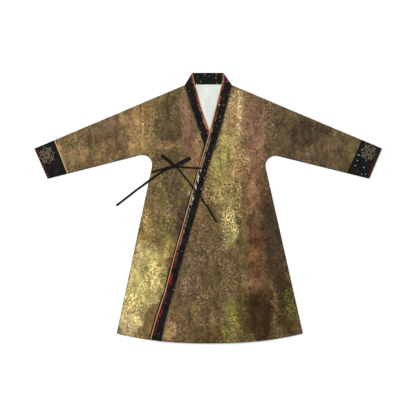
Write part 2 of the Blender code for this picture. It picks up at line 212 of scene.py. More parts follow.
def sheet_shell(name, middle, half, values):
    """Closed cloth from a grid of middle points and the half thickness there, which is 0 at the border."""
    normals = unit(np.cross(np.gradient(middle, axis=0), np.gradient(middle, axis=1)))
    return shell(name, middle, normals, half, values, np.s_[1:-1, 1:-1], cut_corners)


def tube_shell(name, middle, normals, half, values, flip):
    """Closed wall of a tube from rings of middle points. The first and last rings are its rims."""
    def wall_faces(index, step):
        closed = np.concatenate([index, index[:, :1]], axis=1)
        return quads(closed)[:, ::-step if flip else step].tolist()

    return shell(name, middle, normals, half, values, np.s_[1:-1], wall_faces)


def cloth_area(piece):
    """Area of one side of a closed shell, in square metres."""
    return sum(face.area for face in piece.data.polygons) / 2


# %% [markdown]
# ## The bow
#
# The robe closes at the wearer's right side with two narrow cloth ties: one is sewn in the side seam,
# the other to the collar band. Each was cut as a strip, folded, sewn and turned, so it is a flat strap
# that lies along a route. The ends are free and limp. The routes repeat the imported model's, and the
# straps narrow a little where the knot gathers them.

# %% Routes of the ties
TIE_CLOTH = 0.0014
TIE_WIDTH = 0.0090
COLLAR_TIE_WIDTH = 0.0078
ROUTE_STEP = 0.004
SIDE_BASE = ((-236, 150, 3.1), (-218, 155.5, 4), (-195, 162.5, 4.4), (-156, 174, 4.4),
             (-150, 175.6, 4.8))
SIDE_END = ((-150.5, 172.8, 6.4), (-156, 170, 6.2), (-172, 162.5, 6.2), (-190, 154, 6),
            (-208, 142.5, 4.6), (-225, 131, 4.2), (-242, 119, 3.8), (-256, 109, 3.2), (-276, 94, 0.6),
            (-300, 76.5, 0.3), (-343, 43, 0.3), (-386.2, 10, 0.3))
COLLAR_BASE = ((-29, 166.8, 7.1), (-40, 167.2, 7.1), (-50, 167.7, 6.2), (-65, 168.4, 4.5),
               (-100, 170.5, 4.4), (-123.5, 173, 4.4), (-129.5, 174.2, 5))
COLLAR_END = ((-130.5, 169.4, 6.6), (-126, 165, 6.4), (-115, 152.5, 6), (-100, 133, 4.4),
              (-80, 109, 4.6), (-66, 90, 6.6), (-56, 77, 7.2), (-40, 56, 7.2), (-27, 38, 6.8),
              (-8, 12, 6.6), (15, -24, 6.6), (35, -61, 6.6))


def smooth_route(route):
    """Points about ROUTE_STEP apart on a smooth curve through a route's points."""
    points = metres(route)
    line = []
    for i in range(len(points) - 1):
        before, a, b = points[max(i - 1, 0)], points[i], points[i + 1]
        after = points[min(i + 2, len(points) - 1)]
        steps = max(2, round(np.linalg.norm(b - a) / ROUTE_STEP))
        for t in np.arange(steps) / steps:
            line.append(0.5 * (2 * a + (b - before) * t + (2 * before - 5 * a + 4 * b - after) * t**2
                               + (3 * a - before - 3 * b + after) * t**3))
    line.append(points[-1])
    return np.array(line) + (0, 0, TIE_CLOTH / 2)


# %% Straps
STRAP_COLUMN = 0.0013
STRAP_CROWN = 0.00015
PLEAT_RISE = 0.0002
OVER_BAND_LIFT = 0.0003
GATHER_REACH = 0.020
GATHER_SHARE = 0.68
STEEP_SHARE = 0.35
PLEATS = 2


def strap(name, line, width, gather_start=False, gather_end=False):
    """A flat strap whose middle follows a line. Gathered ends are narrower and softly pleated."""
    total = run_length(line)[-1]
    along = between_rims(total, ROUTE_STEP)
    line = resample(line, along)
    heading = np.gradient(line, axis=0)
    side = np.column_stack([to_the_left(line[:, :2]), 0 * along])
    for i in range(1, len(side)):
        steep = np.linalg.norm(heading[i, :2]) < STEEP_SHARE * np.linalg.norm(heading[i])
        if steep or side[i] @ side[i - 1] < 0:
            side[i] = side[i - 1] if steep else -side[i]
    gathered = np.zeros(len(along))
    if gather_start:
        gathered = np.maximum(gathered, 1 - smooth(along / GATHER_REACH))
    if gather_end:
        gathered = np.maximum(gathered, 1 - smooth((total - along) / GATHER_REACH))
    here = width * (1 - (1 - GATHER_SHARE) * gathered)
    across = between_rims(width, STRAP_COLUMN)
    share = across / width - 0.5
    middle = line[:, None] + side[:, None] * (here[:, None] * share)[..., None]
    normal = unit(np.cross(heading, side))
    crown = STRAP_CROWN * (1 - (2 * share)**2)
    pleats = PLEAT_RISE * np.sin(2 * math.pi * PLEATS * share) * gathered[:, None]
    middle = middle + normal[:, None] * (crown + pleats)[..., None] * np.sign(normal[0, 2])
    rim = least(from_ends(across, width), from_ends(along, total)[:, None])
    return sheet_shell(name, middle, TIE_CLOTH / 2 * rim_shape(rim, TIE_CLOTH / 2), {})


side_base_line, side_end_line = smooth_route(SIDE_BASE), smooth_route(SIDE_END)
collar_base_line = smooth_route(COLLAR_BASE)
collar_end_line = smooth_route(COLLAR_END) + (0, 0, OVER_BAND_LIFT)
tie_side_base = strap("tie_side_base_strap", side_base_line, TIE_WIDTH, gather_end=True)
tie_side_end = strap("tie_side_end_strap", side_end_line, TIE_WIDTH, gather_start=True)
tie_collar_base = strap("tie_collar_base_strap", collar_base_line, COLLAR_TIE_WIDTH, gather_end=True)
tie_collar_end = strap("tie_collar_end_strap", collar_end_line, COLLAR_TIE_WIDTH, gather_start=True)
for line in (side_base_line, side_end_line, collar_base_line, collar_end_line):
    print("tie length:", round(run_length(line)[-1], 4))

# %% Loops of the bow
Loop = namedtuple("Loop", "start tip end width start_z low_z high_z end_z")
SIDE_LOOP = Loop((-0.1455, 0.1809), (-0.1953, 0.2224), (-0.1440, 0.1828), 0.0125, 0.0044, 0.0044, 0.0078,
                 0.0080)
COLLAR_LOOP = Loop((-0.1330, 0.1803), (-0.0752, 0.2102), (-0.1316, 0.1776), 0.0140, 0.0064, 0.0046, 0.0080,
                   0.0092)
LOOP_RUN_STEPS = 16
LOOP_TURN_STEPS = 10


def loop_line(loop):
    """Points along a loop: out below, round the fold, back above."""
    start, tip, end = (np.array(p) for p in (loop.start, loop.tip, loop.end))
    radius = (loop.high_z - loop.low_z) / 2
    out = unit(tip - start)
    turn = tip - out * radius
    t = np.linspace(0, 1, LOOP_RUN_STEPS)
    low = np.column_stack([lerp(start, turn, t), loop.start_z + (loop.low_z - loop.start_z) * smooth(t)])
    angle = np.linspace(-math.pi / 2, math.pi / 2, LOOP_TURN_STEPS)[1:-1]
    fold = np.column_stack([turn + out * radius * np.cos(angle)[:, None],
                            loop.low_z + radius * (1 + np.sin(angle))])
    high = np.column_stack([lerp(turn, end, t), loop.high_z + (loop.end_z - loop.high_z) * smooth(t)])
    return np.concatenate([low, fold, high]) + (0, 0, TIE_CLOTH / 2)


tie_side_loop = strap("tie_side_loop_strap", loop_line(SIDE_LOOP), SIDE_LOOP.width, True, True)
tie_collar_loop = strap("tie_collar_loop_strap", loop_line(COLLAR_LOOP), COLLAR_LOOP.width, True, True)
print("loop areas:", round(cloth_area(tie_side_loop), 5), round(cloth_area(tie_collar_loop), 5))

# %% [markdown]
# The knot is the strap wound over itself. A rounded cushion with two slanting furrows reads as that
# winding from every side, and needs no tangle of hidden cloth.

# %% Knot
KNOT_MIDDLE = np.array([-0.1400, 0.1768, 0.0076])
KNOT_HALF = np.array([0.0148, 0.0092, 0.0033])
KNOT_TURN = math.radians(20)
KNOT_SQUARE = 0.72
KNOT_STEPS = (28, 44)
FURROW_DEPTH, FURROW_HALF, FURROW_SLANT = 0.16, 0.09, 0.25
FURROW_PLACES = (0.22, -0.30)


def turned(line, angle, shift=(0, 0)):
    """A flat line turned round (0, 0) and shifted."""
    x, y = np.array(line, float).T
    c, s = math.cos(angle), math.sin(angle)
    return np.column_stack([x * c - y * s, x * s + y * c]) + shift


def make_knot():
    rows, columns = KNOT_STEPS
    up = np.linspace(math.pi / 2, -math.pi / 2, rows)[1:-1, None]
    round_ = np.linspace(0, 2 * math.pi, columns, endpoint=False)[None]

    def soften(value):
        return np.sign(value) * np.abs(value)**KNOT_SQUARE

    x = soften(np.cos(up)) * soften(np.cos(round_))
    y = soften(np.cos(up)) * soften(np.sin(round_))
    z = soften(np.sin(up)) + 0 * round_
    furrow = 1
    for place in FURROW_PLACES:
        furrow = furrow - FURROW_DEPTH * np.exp(-((x - FURROW_SLANT * y - place) / FURROW_HALF)**2)
    local = np.stack([x, y * furrow, z * furrow], axis=-1).reshape(-1, 3) * KNOT_HALF
    points = np.column_stack([turned(local[:, :2], KNOT_TURN), local[:, 2]])
    poles = ((0, 0, KNOT_HALF[2]), (0, 0, -KNOT_HALF[2]))
    index = np.arange((rows - 2) * columns).reshape(rows - 2, columns)
    closed = np.concatenate([index, index[:, :1]], axis=1)
    faces = quads(closed).tolist()
    faces += [(index.size, a, b) for a, b in zip(closed[0, :-1].tolist(), closed[0, 1:].tolist())]
    faces += [(index.size + 1, b, a) for a, b in zip(closed[-1, :-1].tolist(), closed[-1, 1:].tolist())]
    return make_mesh("knot_wrap", np.concatenate([points, poles]) + KNOT_MIDDLE, faces)


knot = make_knot()
print("knot points:", len(knot.data.vertices))

# %% [markdown]
# ## Outlines of the body
#
# A hanfu's body is cut flat: straight shoulders that run on in the sleeves, a round armpit, slanting
# side seams and a curved hem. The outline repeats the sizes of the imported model, so that every shell
# lies in its solid's place.

# %% Sizes of the body
CLOTH = 0.0012
SEAM = 0.0003
SEAM_HEIGHT = CLOTH + SEAM
UNDER_HEIGHT = 0.0028
OVER_HEIGHT = 0.0050
EDGE_SETTLE = 0.040
STEP_START = 0.012
STEP_WIDTH = 0.045
NECK_SEAM_Y = 0.5190
NECK_POINT_Y = 0.5164
COLLAR_TOP_Y = 0.5685
ARMHOLE_TOP_Y = 0.4403
HEM_LOW_X, HEM_LOW_Y = 0.0071, -0.5685
HEM_RISE = 0.0412
HEM_HALF_WIDTH = 0.391
HEM_POWER = 2.3
HEM_BLEND = 4.0
BACK_HEM_INSET = 0.0015
ARMPIT_RADIUS = 0.0415
ARMHOLE_SETTLE = 0.030
FRONT_START = 0.004

Side = namedtuple("Side", "sign neck collar_top cuff_top cuff_low cuff_top_length cuff_low_length armpit hem")
RIGHT = Side(-1, np.array((-0.0987, NECK_POINT_Y)), np.array((-0.0663, COLLAR_TOP_Y)),
             np.array((-0.7304, 0.2501)), np.array((-0.6741, 0.1229)), 0.0903, 0.0852,
             np.array((-0.2222, 0.2384)), np.array((-0.3839, -0.5273)))
LEFT = Side(1, np.array((0.1000, NECK_POINT_Y)), np.array((0.0635, COLLAR_TOP_Y)),
            np.array((0.7304, 0.2505)), np.array((0.6766, 0.1233)), 0.0913, 0.0940,
            np.array((0.2272, 0.2346)), np.array((0.3982, -0.5273)))

CollarRow = namedtuple("CollarRow", "y seam_x edge_x")
UNDER_COLLAR = table(
    CollarRow,
    (0.5164, -0.0987, -0.0530),
    (0.4180, -0.0685, -0.0262),
    (0.3110, -0.0312, 0.0117),
    (0.1640, 0.0150, 0.0560),
    (-0.0040, 0.0545, 0.0970),
    (-0.1800, 0.1060, 0.1470),
    (-0.3520, 0.1530, 0.1930),
    (-0.5600, 0.2090, 0.2560),
)
OVER_COLLAR = table(
    CollarRow,
    (0.5164, 0.1000, 0.0560),
    (0.4180, 0.0756, 0.0305),
    (0.3110, 0.0458, 0.0035),
    (0.1640, -0.0020, -0.0400),
    (-0.0040, -0.0455, -0.0876),
    (-0.1800, -0.0970, -0.1378),
    (-0.3520, -0.1441, -0.1830),
    (-0.4700, -0.1777, -0.2213),
    (-0.5600, -0.1957, -0.2465),
)


# %% Outline curves
def seam_x(rows, y):
    return curve_through([r.y for r in rows], [r.seam_x for r in rows], y)


def edge_x(rows, y):
    return curve_through([r.y for r in rows], [r.edge_x for r in rows], y)


def hem_y(x):
    return HEM_LOW_Y + HEM_RISE * (np.abs(x - HEM_LOW_X) / HEM_HALF_WIDTH)**HEM_POWER


def shoulder_x(side, y):
    slope = side.cuff_top - side.neck
    return side.neck[0] + slope[0] / slope[1] * (y - side.neck[1])


def armpit_arc(side):
    """Middle and the two ends of the round corner between the sleeve's underside and the side seam."""
    along_sleeve = unit(side.cuff_low - side.armpit)
    along_seam = unit(side.hem - side.armpit)
    half = math.acos(along_sleeve @ along_seam) / 2
    reach = ARMPIT_RADIUS / math.tan(half)
    middle = side.armpit + unit(along_sleeve + along_seam) * ARMPIT_RADIUS / math.sin(half)
    return middle, side.armpit + along_sleeve * reach, side.armpit + along_seam * reach


def underarm_y(side, x):
    """Lower edge of the sleeve at x."""
    middle, on_sleeve, _ = armpit_arc(side)
    slope = side.cuff_low - side.armpit
    straight = side.armpit[1] + slope[1] / slope[0] * (x - side.armpit[0])
    round_part = middle[1] + np.sqrt(np.maximum(ARMPIT_RADIUS**2 - (x - middle[0])**2, 0))
    return np.where(np.abs(x) < abs(on_sleeve[0]), round_part, straight)


ROW_STEP = 0.0055
HEM_ZONE = 0.040
HEM_FOLD = 0.017
HEM_ROWS = np.array([0.0400, 0.0350, 0.0300, 0.0255, 0.0220, 0.0195, 0.0182, HEM_FOLD, 0.0158, 0.0145, 0.0120,
                     0.0090, 0.0060, 0.0030, 0.0014, 0.0006, 0.0002, 0.0])


def side_line(side, start_y, step=ROW_STEP):
    """Points down the side of the body from start_y: shoulder, armhole, armpit and side seam."""
    heights = np.concatenate([start_y - RIM, evenly(start_y - RIM[-1], ARMHOLE_TOP_Y, step)[1:]])
    shoulder = np.column_stack([shoulder_x(side, heights), heights])
    armhole_x = shoulder_x(side, ARMHOLE_TOP_Y)
    low = float(underarm_y(side, armhole_x))
    down = evenly(ARMHOLE_TOP_Y, low, step)[1:]
    armhole = np.column_stack([np.full(len(down), armhole_x), down])
    middle, _, on_seam = armpit_arc(side)
    start = math.atan2(low - middle[1], (armhole_x - middle[0]) * -side.sign)
    end = math.atan2(on_seam[1] - middle[1], (on_seam[0] - middle[0]) * -side.sign)
    angles = evenly(start, end, step / ARMPIT_RADIUS)[1:]
    arc = middle + np.column_stack([np.cos(angles) * -side.sign, np.sin(angles)]) * ARMPIT_RADIUS
    length = np.linalg.norm(side.hem - on_seam)
    from_hem = np.concatenate([evenly(length, HEM_ROWS[0], step)[1:-1], HEM_ROWS])
    seam = lerp(side.hem, on_seam, from_hem / length)
    return np.concatenate([shoulder, armhole, arc, seam])


def hem_bend(y, side):
    """How far a row follows the hem's curve: wholly in the hem zone, less and less above it."""
    share = (NECK_SEAM_Y - y) / (NECK_SEAM_Y - side.hem[1] - HEM_ZONE)
    return np.clip(share, 0, 1)**HEM_BLEND


def collar_line(rows, side_points, side, gap):
    """The collar's seam, one point beside each point of the body's side, moved by gap into the front."""
    y = np.minimum(side_points[:, 1], NECK_POINT_Y - SEAM)
    y = y + (hem_y(seam_x(rows, y)) - side.hem[1]) * hem_bend(y, side)
    return np.column_stack([seam_x(rows, y) + gap, y])


right_side, left_side = (side_line(side, NECK_POINT_Y - FRONT_START) for side in (RIGHT, LEFT))
print("rows down the right and left front:", len(right_side), len(left_side))

# %% [markdown]
# ## Creases and folds
#
# Pressed cloth that has been folded away keeps soft creases. Each is one row of a table: where its
# middle lies, its heading, its length and width and how far it rises or sinks. Small puckers run
# along the seams, where the thread draws the cloth together, and a slow swell keeps wide cloth from
# looking like card.

# %% Relief of the cloth
Crease = namedtuple("Crease", "x y heading half_length half_width rise")
FRONT_RIGHT_CREASES = table(
    Crease,
    (-235, -130, 80, 170, 30, 1),
    (-290, -400, 74, 120, 28, 0.8),
    (-165, 330, 62, 110, 22, 0.7),
    (-215, 215, 128, 70, 16, 0.8),
    (-225, 170, 150, 60, 12, -0.6),
    (-190, 30, 70, 120, 18, -0.6),
    (-330, -330, 78, 140, 16, -0.6),
    (-235, -460, 100, 80, 20, 0.6),
    (-150, -100, 72, 90, 14, 0.5),
)
FRONT_LEFT_CREASES = table(
    Crease,
    (278, -405, -46, 80, 26, 1.2),
    (225, -60, -82, 160, 30, 1),
    (60, -330, -88, 150, 34, 0.8),
    (150, 330, -60, 70, 26, 0.8),
    (215, 205, 40, 75, 16, 0.9),
    (225, 160, 22, 60, 12, -0.7),
    (120, 120, -80, 150, 22, -0.6),
    (305, -250, -78, 160, 18, -0.7),
    (135, -440, 88, 100, 22, 0.7),
    (-60, -400, 80, 120, 26, 0.6),
    (10, -180, -84, 120, 18, -0.5),
    (190, -300, -70, 90, 14, 0.6),
)
BACK_CREASES = table(
    Crease,
    (-150, -200, 84, 220, 30, 0.9),
    (160, -120, 96, 200, 28, 0.9),
    (20, 50, 90, 160, 26, 0.8),
    (250, -380, 110, 120, 22, 0.7),
    (-260, -380, 70, 110, 24, 0.7),
    (-30, -420, 92, 120, 22, 0.6),
)
SWELL_WAVES = 7
SWELL_LENGTHS = (0.07, 0.20)


def crease_rise(creases, x, y):
    rise = np.zeros_like(x)
    for c in creases:
        heading = math.radians(c.heading)
        dx, dy = x - metres(c.x), y - metres(c.y)
        along = (dx * math.cos(heading) + dy * math.sin(heading)) / metres(c.half_length)
        across = (dy * math.cos(heading) - dx * math.sin(heading)) / metres(c.half_width)
        rise = rise + metres(c.rise) * np.maximum(1 - along**2, 0)**2 * np.maximum(1 - across**2, 0)**2
    return rise


def swell(x, y, seed, height):
    """Slow unevenness of cloth that lies loose, the same for the same seed."""
    random = np.random.default_rng(seed)
    total = np.zeros_like(x)
    for _ in range(SWELL_WAVES):
        heading = random.uniform(0, math.pi)
        length = random.uniform(*SWELL_LENGTHS)
        phase = random.uniform(0, 2 * math.pi)
        total = total + np.sin((x * math.cos(heading) + y * math.sin(heading)) * 2 * math.pi / length + phase)
    return height * total / SWELL_WAVES


PUCKER_LENGTH = 0.024
PUCKER_REACH = 0.010
PUCKER_RISE = 0.00035
PUCKER_START = 0.004
PUCKER_DRIFTS = ((2.2, 31.0), (1.3, 77.0))


def puckers(distance, along):
    """Small waves beside a seam, which die out within two fingers."""
    phase = along * 2 * math.pi / PUCKER_LENGTH
    for size, pace in PUCKER_DRIFTS:
        phase = phase + size * np.sin(along * pace)
    return PUCKER_RISE * np.sin(phase) * np.exp(-distance / PUCKER_REACH) * smooth(distance / PUCKER_START)


def groove(distance, depth, half_width):
    """A soft furrow, deepest where the distance from its line is 0."""
    return -depth * np.exp(-(distance / half_width)**2)


# %% [markdown]
# ## Back and fronts
#
# The back is one panel. The right front lies on it, and the left front laps over both, a step higher.
# At the shoulder and the side seam the front turns down to the back, so that the two cloths close to
# one edge. The hem is folded up and sewn: a shallow line runs a finger's width above the edge.

# %% Body panels
COLUMN_STEP = 0.0055
BACK_STEP = 0.0080
HEM_FOLD_DEPTH = 0.0004
HEM_FOLD_HALF = 0.0016
CLOSED_EDGE = CLOTH / 2 + 0.00005
RELIEF_FADE = 0.020
BACK_RISE = 0.0008
DEEPEST = 0.0004


def heights_of_seam(y):
    """The front lies on the back at the shoulder and the side seam, and opens a little at the armhole."""
    top = smooth((ARMHOLE_TOP_Y + ARMHOLE_SETTLE - y) / ARMHOLE_SETTLE)
    low = smooth((y - RIGHT.armpit[1] + 2 * ARMHOLE_SETTLE) / ARMHOLE_SETTLE)
    return SEAM_HEIGHT + (UNDER_HEIGHT - SEAM_HEIGHT) * top * low


def under_height(x, y):
    return UNDER_HEIGHT + 0 * x


def over_height(x, y):
    """What lies over the right front and its collar stands a step higher there."""
    past = x - edge_x(UNDER_COLLAR, y) - STEP_START
    return UNDER_HEIGHT + (OVER_HEIGHT - UNDER_HEIGHT) * smooth(1 - past / STEP_WIDTH)


def across_rows(widths, step):
    """Distances across rows of some widths: close together at both rims, about step apart between."""
    rims = np.broadcast_to(RIM, (len(widths), len(RIM)))
    inner = np.linspace(RIM[-1], widths - RIM[-1], round(widths.max() / step), axis=1)[:, 1:-1]
    return np.concatenate([rims, inner, widths[:, None] - rims[:, ::-1]], axis=1)


def panel(left, right, side, column_step, hem_inset=0.0):
    """Places and distances of a body panel's grid, between two side lines with the same number of points."""
    widths = np.linalg.norm(right - left, axis=1)
    across = across_rows(widths, column_step)
    share = across / widths[:, None]
    place = left[:, None] + (right - left)[:, None] * share[..., None]
    low = left[-1] + (right[-1] - left[-1]) * share[..., None]
    bend = hem_bend((left[:, 1] + right[:, 1])[:, None] / 2, side)
    x = place[..., 0]
    y = place[..., 1] + (hem_y(low[..., 0]) + hem_inset - low[..., 1]) * bend
    down = run_length((left[:, 1:] + right[:, 1:]) / 2)
    return x, y, across, widths[:, None] - across, down[:, None] + 0 * x


def finish_panel(name, x, y, middle_z, left_gap, right_gap, top_gap, low_gap):
    nearest = least(left_gap, right_gap, top_gap, low_gap)
    half = CLOTH / 2 * rim_shape(nearest, CLOTH / 2)
    values = {"from_edge": nearest, "from_hem": low_gap}
    return sheet_shell(name, np.stack([x, y, middle_z], axis=-1), half, values)


def hem_gaps(x, side_points, side):
    """Distance above the hem of each row of a panel."""
    rows = np.linalg.norm(side_points - side.hem, axis=1)
    return rows[:, None] + 0 * x


def hem_groove(low_gap):
    return groove(low_gap - HEM_FOLD, HEM_FOLD_DEPTH, HEM_FOLD_HALF)


def make_back():
    right, left = side_line(RIGHT, NECK_SEAM_Y, BACK_STEP), side_line(LEFT, NECK_SEAM_Y, BACK_STEP)
    x, y, left_gap, right_gap, down = panel(right, left, RIGHT, BACK_STEP, BACK_HEM_INSET)
    low_gap = hem_gaps(x, right, RIGHT)
    inside = smooth(least(left_gap, right_gap, low_gap) / 0.08) * smooth((0.28 - y) / 0.06)
    rise = np.clip(crease_rise(BACK_CREASES, x, y) + swell(x, y, 3, 0.0006), 0, BACK_RISE) * inside
    middle = CLOTH / 2 + rise - hem_groove(low_gap)
    return finish_panel("back_cloth", x, y, middle, left_gap, right_gap, down, low_gap)


def close_to_back(middle, gap, y, low_y):
    """Turns a front's outer edge down to the back's, apart from the armhole, where the sleeve is sewn."""
    armhole = smooth((ARMHOLE_TOP_Y + 0.003 - y) / 0.006) * smooth((y - low_y + 0.003) / 0.006)
    reach = np.maximum(CLOTH / 2, 0.7 * (middle - CLOSED_EDGE))
    return middle - (middle - CLOSED_EDGE) * (1 - rim_shape(gap, reach)) * (1 - armhole)


def make_front(name, side, outer, rows, creases, seed, resting, free):
    """One front: free tells where its relief may rise."""
    inner = collar_line(rows, outer, side, side.sign * SEAM)
    left, right = (outer, inner) if side.sign < 0 else (inner, outer)
    x, y, left_gap, right_gap, down = panel(left, right, side, COLUMN_STEP)
    outer_gap, inner_gap = (left_gap, right_gap) if side.sign < 0 else (right_gap, left_gap)
    low_gap = hem_gaps(x, outer, side)
    seam_level = heights_of_seam(y)
    under = seam_level + (resting(x, y) - seam_level) * smooth(outer_gap / EDGE_SETTLE)
    edge = least(outer_gap, inner_gap, low_gap)
    relief = (crease_rise(creases, x, y) + swell(x, y, seed, 0.0006)) * smooth(edge / RELIEF_FADE)
    relief = relief + puckers(inner_gap, y) + puckers(outer_gap, y + 0.3)
    on_band = smooth((x - edge_x(UNDER_COLLAR, y) - STEP_START) / STEP_WIDTH) if side.sign > 0 else 1
    relief = np.maximum(relief, -DEEPEST * on_band)
    middle = under + CLOTH / 2 + relief * free(x, y) + hem_groove(low_gap)
    armhole_low = float(underarm_y(side, shoulder_x(side, ARMHOLE_TOP_Y)))
    middle = close_to_back(middle, outer_gap, outer[:, 1][:, None], armhole_low)
    return finish_panel(name, x, y, middle, left_gap, right_gap, down, low_gap)


back = make_back()
front_right = make_front("front_right_cloth", RIGHT, right_side, UNDER_COLLAR, FRONT_RIGHT_CREASES, 11,
                         under_height, lambda x, y: smooth((edge_x(OVER_COLLAR, y) - x + 0.010) / 0.030))
front_left = make_front("front_left_cloth", LEFT, left_side, OVER_COLLAR, FRONT_LEFT_CREASES, 23, over_height,
                        lambda x, y: 1 + 0 * x)
for piece in (back, front_right, front_left):
    print(piece.name, len(piece.data.polygons), "faces", round(cloth_area(piece), 4), "m2 a side")

# %% [markdown]
# ## Sleeves and cuffs
#
# A sleeve is a tube that lies flat: two layers that turn over at the top and below. The cuff is a
# second tube of stiffer cloth, sewn on at a slant. Rings of points round the tube, one beside the
# other along the arm, give both layers and their folds at once.

# %% Tubes
SLEEVE_THICK = 0.0040
CUFF_THICK = 0.0046
CUFF_CLOTH = 0.0015
SLEEVE_RIDGE = 0.0010
TUBE_STEP = 0.0052
FOLD_ANGLES = 9
JOIN_GAP = 0.00012
SLEEVE_RIGHT_CREASES = table(
    Crease,
    (-345, 300, 40, 80, 18, 0.8),
    (-330, 250, 72, 70, 14, -0.5),
    (-470, 270, 20, 90, 18, 0.7),
    (-560, 235, 55, 60, 14, 0.6),
    (-420, 225, 10, 80, 12, -0.5),
)
SLEEVE_LEFT_CREASES = table(
    Crease,
    (340, 305, -45, 80, 18, 0.8),
    (335, 245, -75, 65, 14, -0.5),
    (455, 275, -18, 90, 18, 0.8),
    (560, 240, -58, 65, 14, 0.6),
    (430, 220, -8, 80, 12, -0.5),
)


def flat_rings(tops, lows, thick, wall):
    """Rings of middle points and normals of a flattened tube between its upper and lower outline."""
    fold, radius = thick / 2, (thick - wall) / 2
    widths = np.linalg.norm(lows - tops, axis=1)
    across = (lows - tops) / widths[:, None]
    count = round(widths.max() / TUBE_STEP)
    layer = np.linspace(fold, widths - fold, count, axis=1)
    angles = np.linspace(math.pi / 2, -math.pi / 2, FOLD_ANGLES)[1:-1]
    ones = np.ones((len(tops), 1))
    low_fold = widths[:, None] - fold + radius * np.cos(angles)[None]
    top_fold = fold - radius * np.cos(angles)[None] * ones
    d = np.concatenate([layer, low_fold, layer[:, ::-1], top_fold], axis=1)
    high = np.full(count, thick - wall / 2)
    rest = np.full(count, wall / 2)
    z = np.concatenate([high, fold + radius * np.sin(angles), rest, fold - radius * np.sin(angles)])
    flat = np.concatenate([0 * high, np.cos(angles), 0 * rest, -np.cos(angles)])
    rise = np.concatenate([0 * high + 1, np.sin(angles), 0 * rest - 1, -np.sin(angles)])
    middle = np.concatenate([tops[:, None] + across[:, None] * d[..., None], (ones * z)[..., None]], axis=-1)
    normals = np.concatenate([across[:, None] * flat[None, :, None], (ones * rise)[..., None]], axis=-1)
    upper = np.concatenate([0 * high + 1, 0 * angles, 0 * rest, 0 * angles])
    from_fold = from_ends(d, widths[:, None])
    return middle, normals, upper, from_fold


def make_tube(name, tops, lows, along, thick, wall, side, relief):
    middle, normals, upper, from_fold = flat_rings(tops, lows, thick, wall)
    total = along[-1]
    from_end = from_ends(along, total)[:, None] + 0 * from_fold
    lift = relief(middle[..., 0], middle[..., 1], along[:, None], total, from_fold)
    middle[..., 2] += lift * upper[None] * smooth(from_fold / 0.02)
    values = {"from_edge": np.minimum(from_end, np.maximum(from_fold - 0.0012, 0.0)),
              "from_opening": total - along[:, None] + 0 * from_fold}
    return tube_shell(name, middle, normals, wall / 2 * rim_shape(from_end, wall / 2), values, side.sign > 0)


def cuff_seam(side):
    """Upper and lower end of the seam between sleeve and cuff."""
    return (side.cuff_top + unit(side.neck - side.cuff_top) * side.cuff_top_length,
            side.cuff_low + unit(side.armpit - side.cuff_low) * side.cuff_low_length)


def make_sleeve(name, side, creases, seed):
    top_seam, low_seam = cuff_seam(side)
    start_x = shoulder_x(side, ARMHOLE_TOP_Y) + side.sign * JOIN_GAP
    start_top = np.array((start_x, ARMHOLE_TOP_Y - JOIN_GAP * 0.5))
    total = float(np.linalg.norm(top_seam - start_top))
    along = between_rims(total, TUBE_STEP)
    share = along / total
    tops = lerp(start_top, top_seam, share)
    low_x = start_x + (low_seam[0] - start_x) * share
    lows = np.column_stack([low_x, underarm_y(side, low_x)])

    def relief(x, y, place, whole, from_fold):
        near = from_ends(place, whole)
        rise = SLEEVE_RIDGE * np.sin(math.pi * place / whole) * smooth(from_fold / 0.08)
        loose = crease_rise(creases, x, y) + swell(x, y, seed, 0.0007)
        return rise + loose * smooth(near / RELIEF_FADE) + puckers(near, y)

    return make_tube(name, tops, lows, along, SLEEVE_THICK, CLOTH, side, relief)


def make_cuff(name, side, seed):
    top_seam, low_seam = cuff_seam(side)
    top_start = top_seam + unit(side.cuff_top - side.neck) * JOIN_GAP
    low_start = low_seam + unit(side.cuff_low - side.armpit) * JOIN_GAP
    total = (np.linalg.norm(side.cuff_top - top_start) + np.linalg.norm(side.cuff_low - low_start)) / 2
    along = between_rims(float(total), TUBE_STEP)
    share = along / total

    def relief(x, y, place, whole, from_fold):
        near = from_ends(place, whole)
        return swell(x, y, seed, 0.0004) * smooth(near / RELIEF_FADE) + 0.7 * puckers(place, y)

    tops, lows = lerp(top_start, side.cuff_top, share), lerp(low_start, side.cuff_low, share)
    return make_tube(name, tops, lows, along, CUFF_THICK, CUFF_CLOTH, side, relief)


sleeve_right = make_sleeve("sleeve_right_cloth", RIGHT, SLEEVE_RIGHT_CREASES, 31)
sleeve_left = make_sleeve("sleeve_left_cloth", LEFT, SLEEVE_LEFT_CREASES, 37)
cuff_right = make_cuff("cuff_right_cloth", RIGHT, 41)
cuff_left = make_cuff("cuff_left_cloth", LEFT, 43)
for piece in (sleeve_right, sleeve_left, cuff_right, cuff_left):
    print(piece.name, len(piece.data.polygons), "faces", round(cloth_area(piece), 4), "m2 a side")

# %% [markdown]
# ## Collar, edging and lining
#
# The collar is one long band in three parts: behind the neck, down the right front, which goes on
# hidden below, and down the left front to the hem. It is cut double, so it is thicker and a little
# crowned. A narrow beige edging finishes its free edge. The white lining shows in the neck opening.

# %% Collar bands
BAND_CLOTH = 0.0018
BACK_BAND_CLOTH = 0.0024
EDGING_WIDTH = 0.0052
EDGING_DROP = 0.0002
BAND_COLUMN = 0.0038
EDGING_COLUMNS = 7
CORNER_SHARE = 0.03


